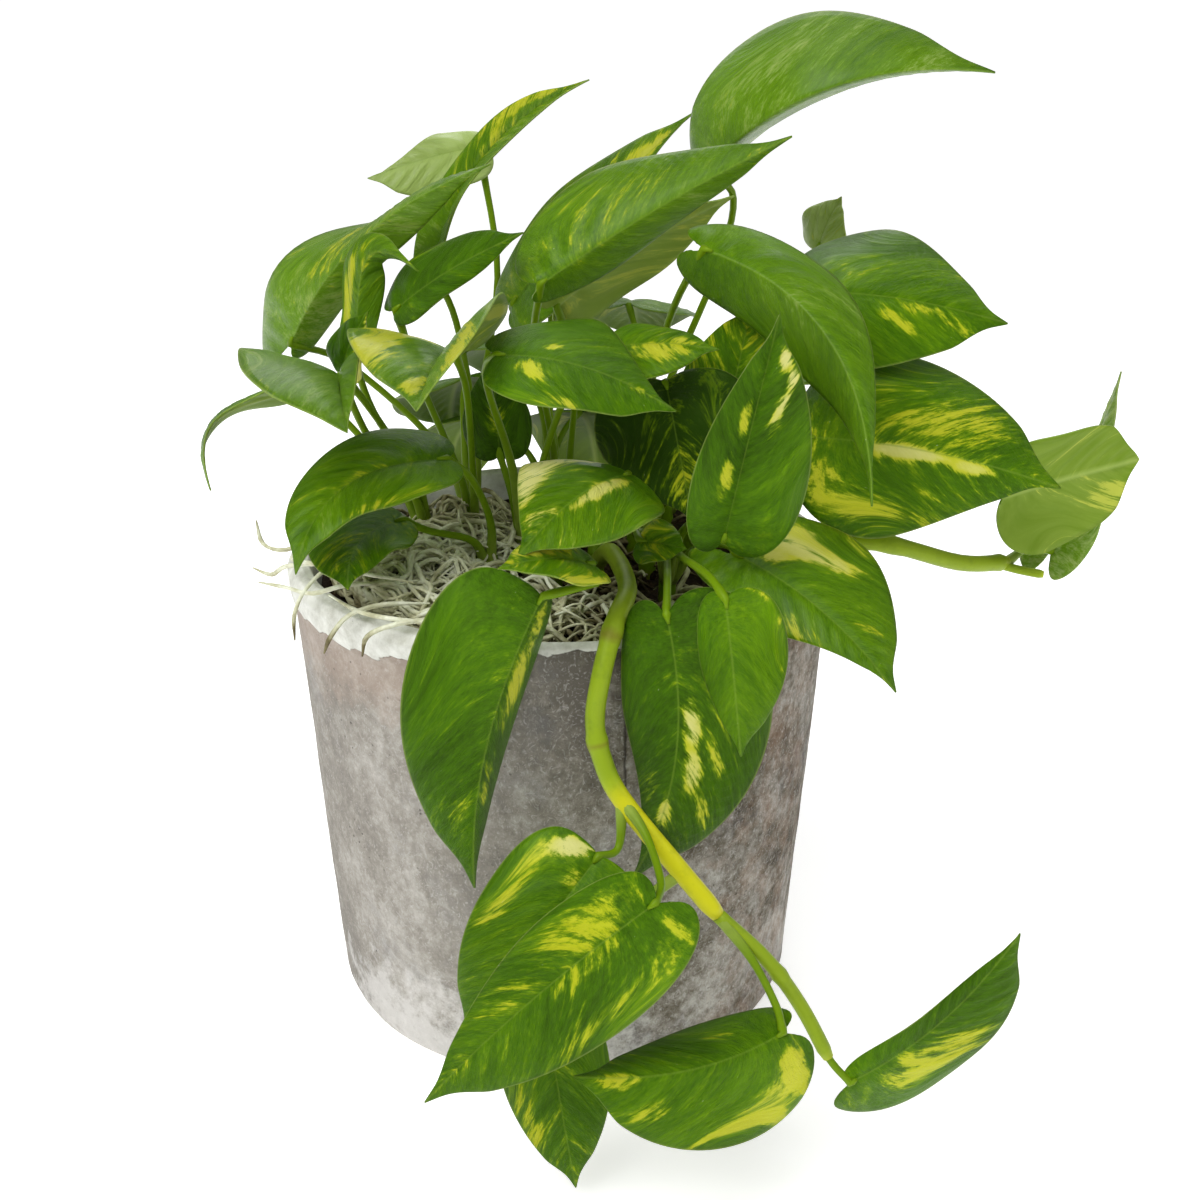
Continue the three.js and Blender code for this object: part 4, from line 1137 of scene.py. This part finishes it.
# Front right stem
# A stem at the front right, with an upright leaf, a broad one to the right and three that
# hang over the lip.
grow_stem("front_right_stem", crown=(36, -34), leaves=[
    Leaf((50, -88, 199), (63, -94, 267), (-10, -95, 35), (14, 20), arch=4, folds=(35, 5), fullness=(0, 40),
         flecks=-25, tone=25, stalk=[(40, -44, 186), (46, -68, 198)],
         marks=[(75, 80, 30, 7, 95, 100), (80, 70, 20, 7, 95, 100), (55, 60, 20, 6, 85, 90),
                (40, 52, 15, 5, 75, 80), (-28, 55, 20, 10, 95, 35), (-30, 25, 18, 10, 90, 35)]),
    Leaf((55, -76, 190), (99, -113, 161), (20, -75, 65), (31, 16), arch=6, bow=-4, folds=(0, 0),
         lobes=(14, 24), fullness=(20, -50), tone=52, stalk=[(45, -42, 180), (53, -62, 188)],
         marks=[(-20, 10, 16, 6, 80, 70), (-45, 18, 24, 7, 90, 80), (-65, 27, 22, 6, 75, 60),
                (75, 42, 30, 12, 70, 40), (60, 92, 50, 5, 75, 60), (-40, 68, 25, 6, 55, 30),
                (-93, 22, 12, 5, 70, 50)]),
    Leaf((49, -113, 190), (54, -122, 145), (0, -100, 30), (17, 12), arch=8, folds=(0, -30), flecks=-25,
         tone=42, stalk=[(37, -48, 180), (40, -82, 190), (45, -103, 193)],
         marks=[(-90, 30, 12, 6, 65, 30)]),
    Leaf((33, -100, 180), (23, -106, 94), (5, -100, 25), (29, 19.5), arch=7, bow=-9, folds=(5, -20),
         fullness=(30, -50), tone=15, stalk=[(35, -48, 178), (34, -78, 184)],
         marks=[(-15, 35, 12, 8, 85, 90), (-25, 50, 15, 9, 85, 80), (5, 70, 25, 7, 75, 70),
                (-50, 42, 15, 5, 65, 50), (-60, 60, 25, 6, 65, 50), (60, 60, 35, 8, 55, 40)]),
    Leaf((26, -66, 191), (40, -74, 191), (0, -70, 70), (8, 8), arch=6, flecks=15, tone=30,
         stalk=[(32, -46, 182), (25, -56, 191)]),
])


# Inner stem
# A stem inside the crown, with two leaves that show between the others.
grow_stem("inner_stem", crown=(30, -8), leaves=[
    Leaf((53, -36, 218), (61, -36, 259), (0, -90, 40), (17, 20), arch=6, flecks=20, tone=35,
         stalk=[(34, -14, 184), (42, -30, 197)]),
    # This leaf's low tone is painted shade, deep in the crown.
    Leaf((34, -46, 236), (42, -68, 198), (-10, -90, 40), (25, 25), arch=6, flecks=0, tone=-20,
         stalk=[(30, -14, 196), (27, -32, 226)],
         marks=[(0, 70, 60, 25, 40, 20)]),
])


# Back centre stem
# A stem at the back, which the photograph does not show. It fills the crown in the same way.
grow_stem("back_centre_stem", crown=(-6, 42), leaves=[
    Leaf((-13, 56, 226), (-22, 116, 192), (-10, 60, 80), (29, 29), arch=12, folds=(5, 5),
         stalk=[(-7, 48, 194), (-12, 53, 214)],
         marks=[(40, 40, 40, 20, 50, 40)]),
    Leaf((6, 68, 196), (14, 118, 130), (10, 90, 40), (25, 25), arch=16, tone=30,
         stalk=[(-4, 52, 182), (0, 60, 191)],
         marks=[(-50, 30, 40, 15, 55, 30)]),
    Leaf((-30, 66, 196), (-52, 114, 134), (-40, 80, 40), (23, 23), arch=18, folds=(5, 5),
         stalk=[(-12, 50, 182), (-22, 58, 191)]),
    Leaf((-4, 42, 244), (6, 78, 262), (-30, 30, 90), (22, 22), arch=8, tone=55, stalk=[(-5, 44, 200)]),
])


# Back right stem
# A stem at the back right, which the photograph does not show.
grow_stem("back_right_stem", crown=(38, 36), leaves=[
    Leaf((24, 56, 240), (28, 116, 212), (10, 60, 80), (26, 26), arch=12, folds=(5, 5), tone=55,
         stalk=[(35, 44, 196), (28, 52, 226)],
         marks=[(-40, 50, 40, 20, 50, 50)]),
    Leaf((50, 54, 222), (76, 106, 190), (40, 50, 80), (25, 25), arch=10, folds=(5, 5),
         stalk=[(43, 44, 190), (48, 50, 211)]),
    Leaf((46, 66, 195), (66, 112, 138), (40, 80, 40), (24, 24), arch=16, folds=(5, 5), tone=30,
         stalk=[(40, 46, 182), (44, 58, 189)],
         marks=[(50, 20, 40, 15, 60, 30)]),
    Leaf((74, 42, 220), (120, 50, 202), (30, 10, 90), (22, 22), arch=10, folds=(5, 5),
         stalk=[(50, 38, 190), (64, 40, 210)]),
])
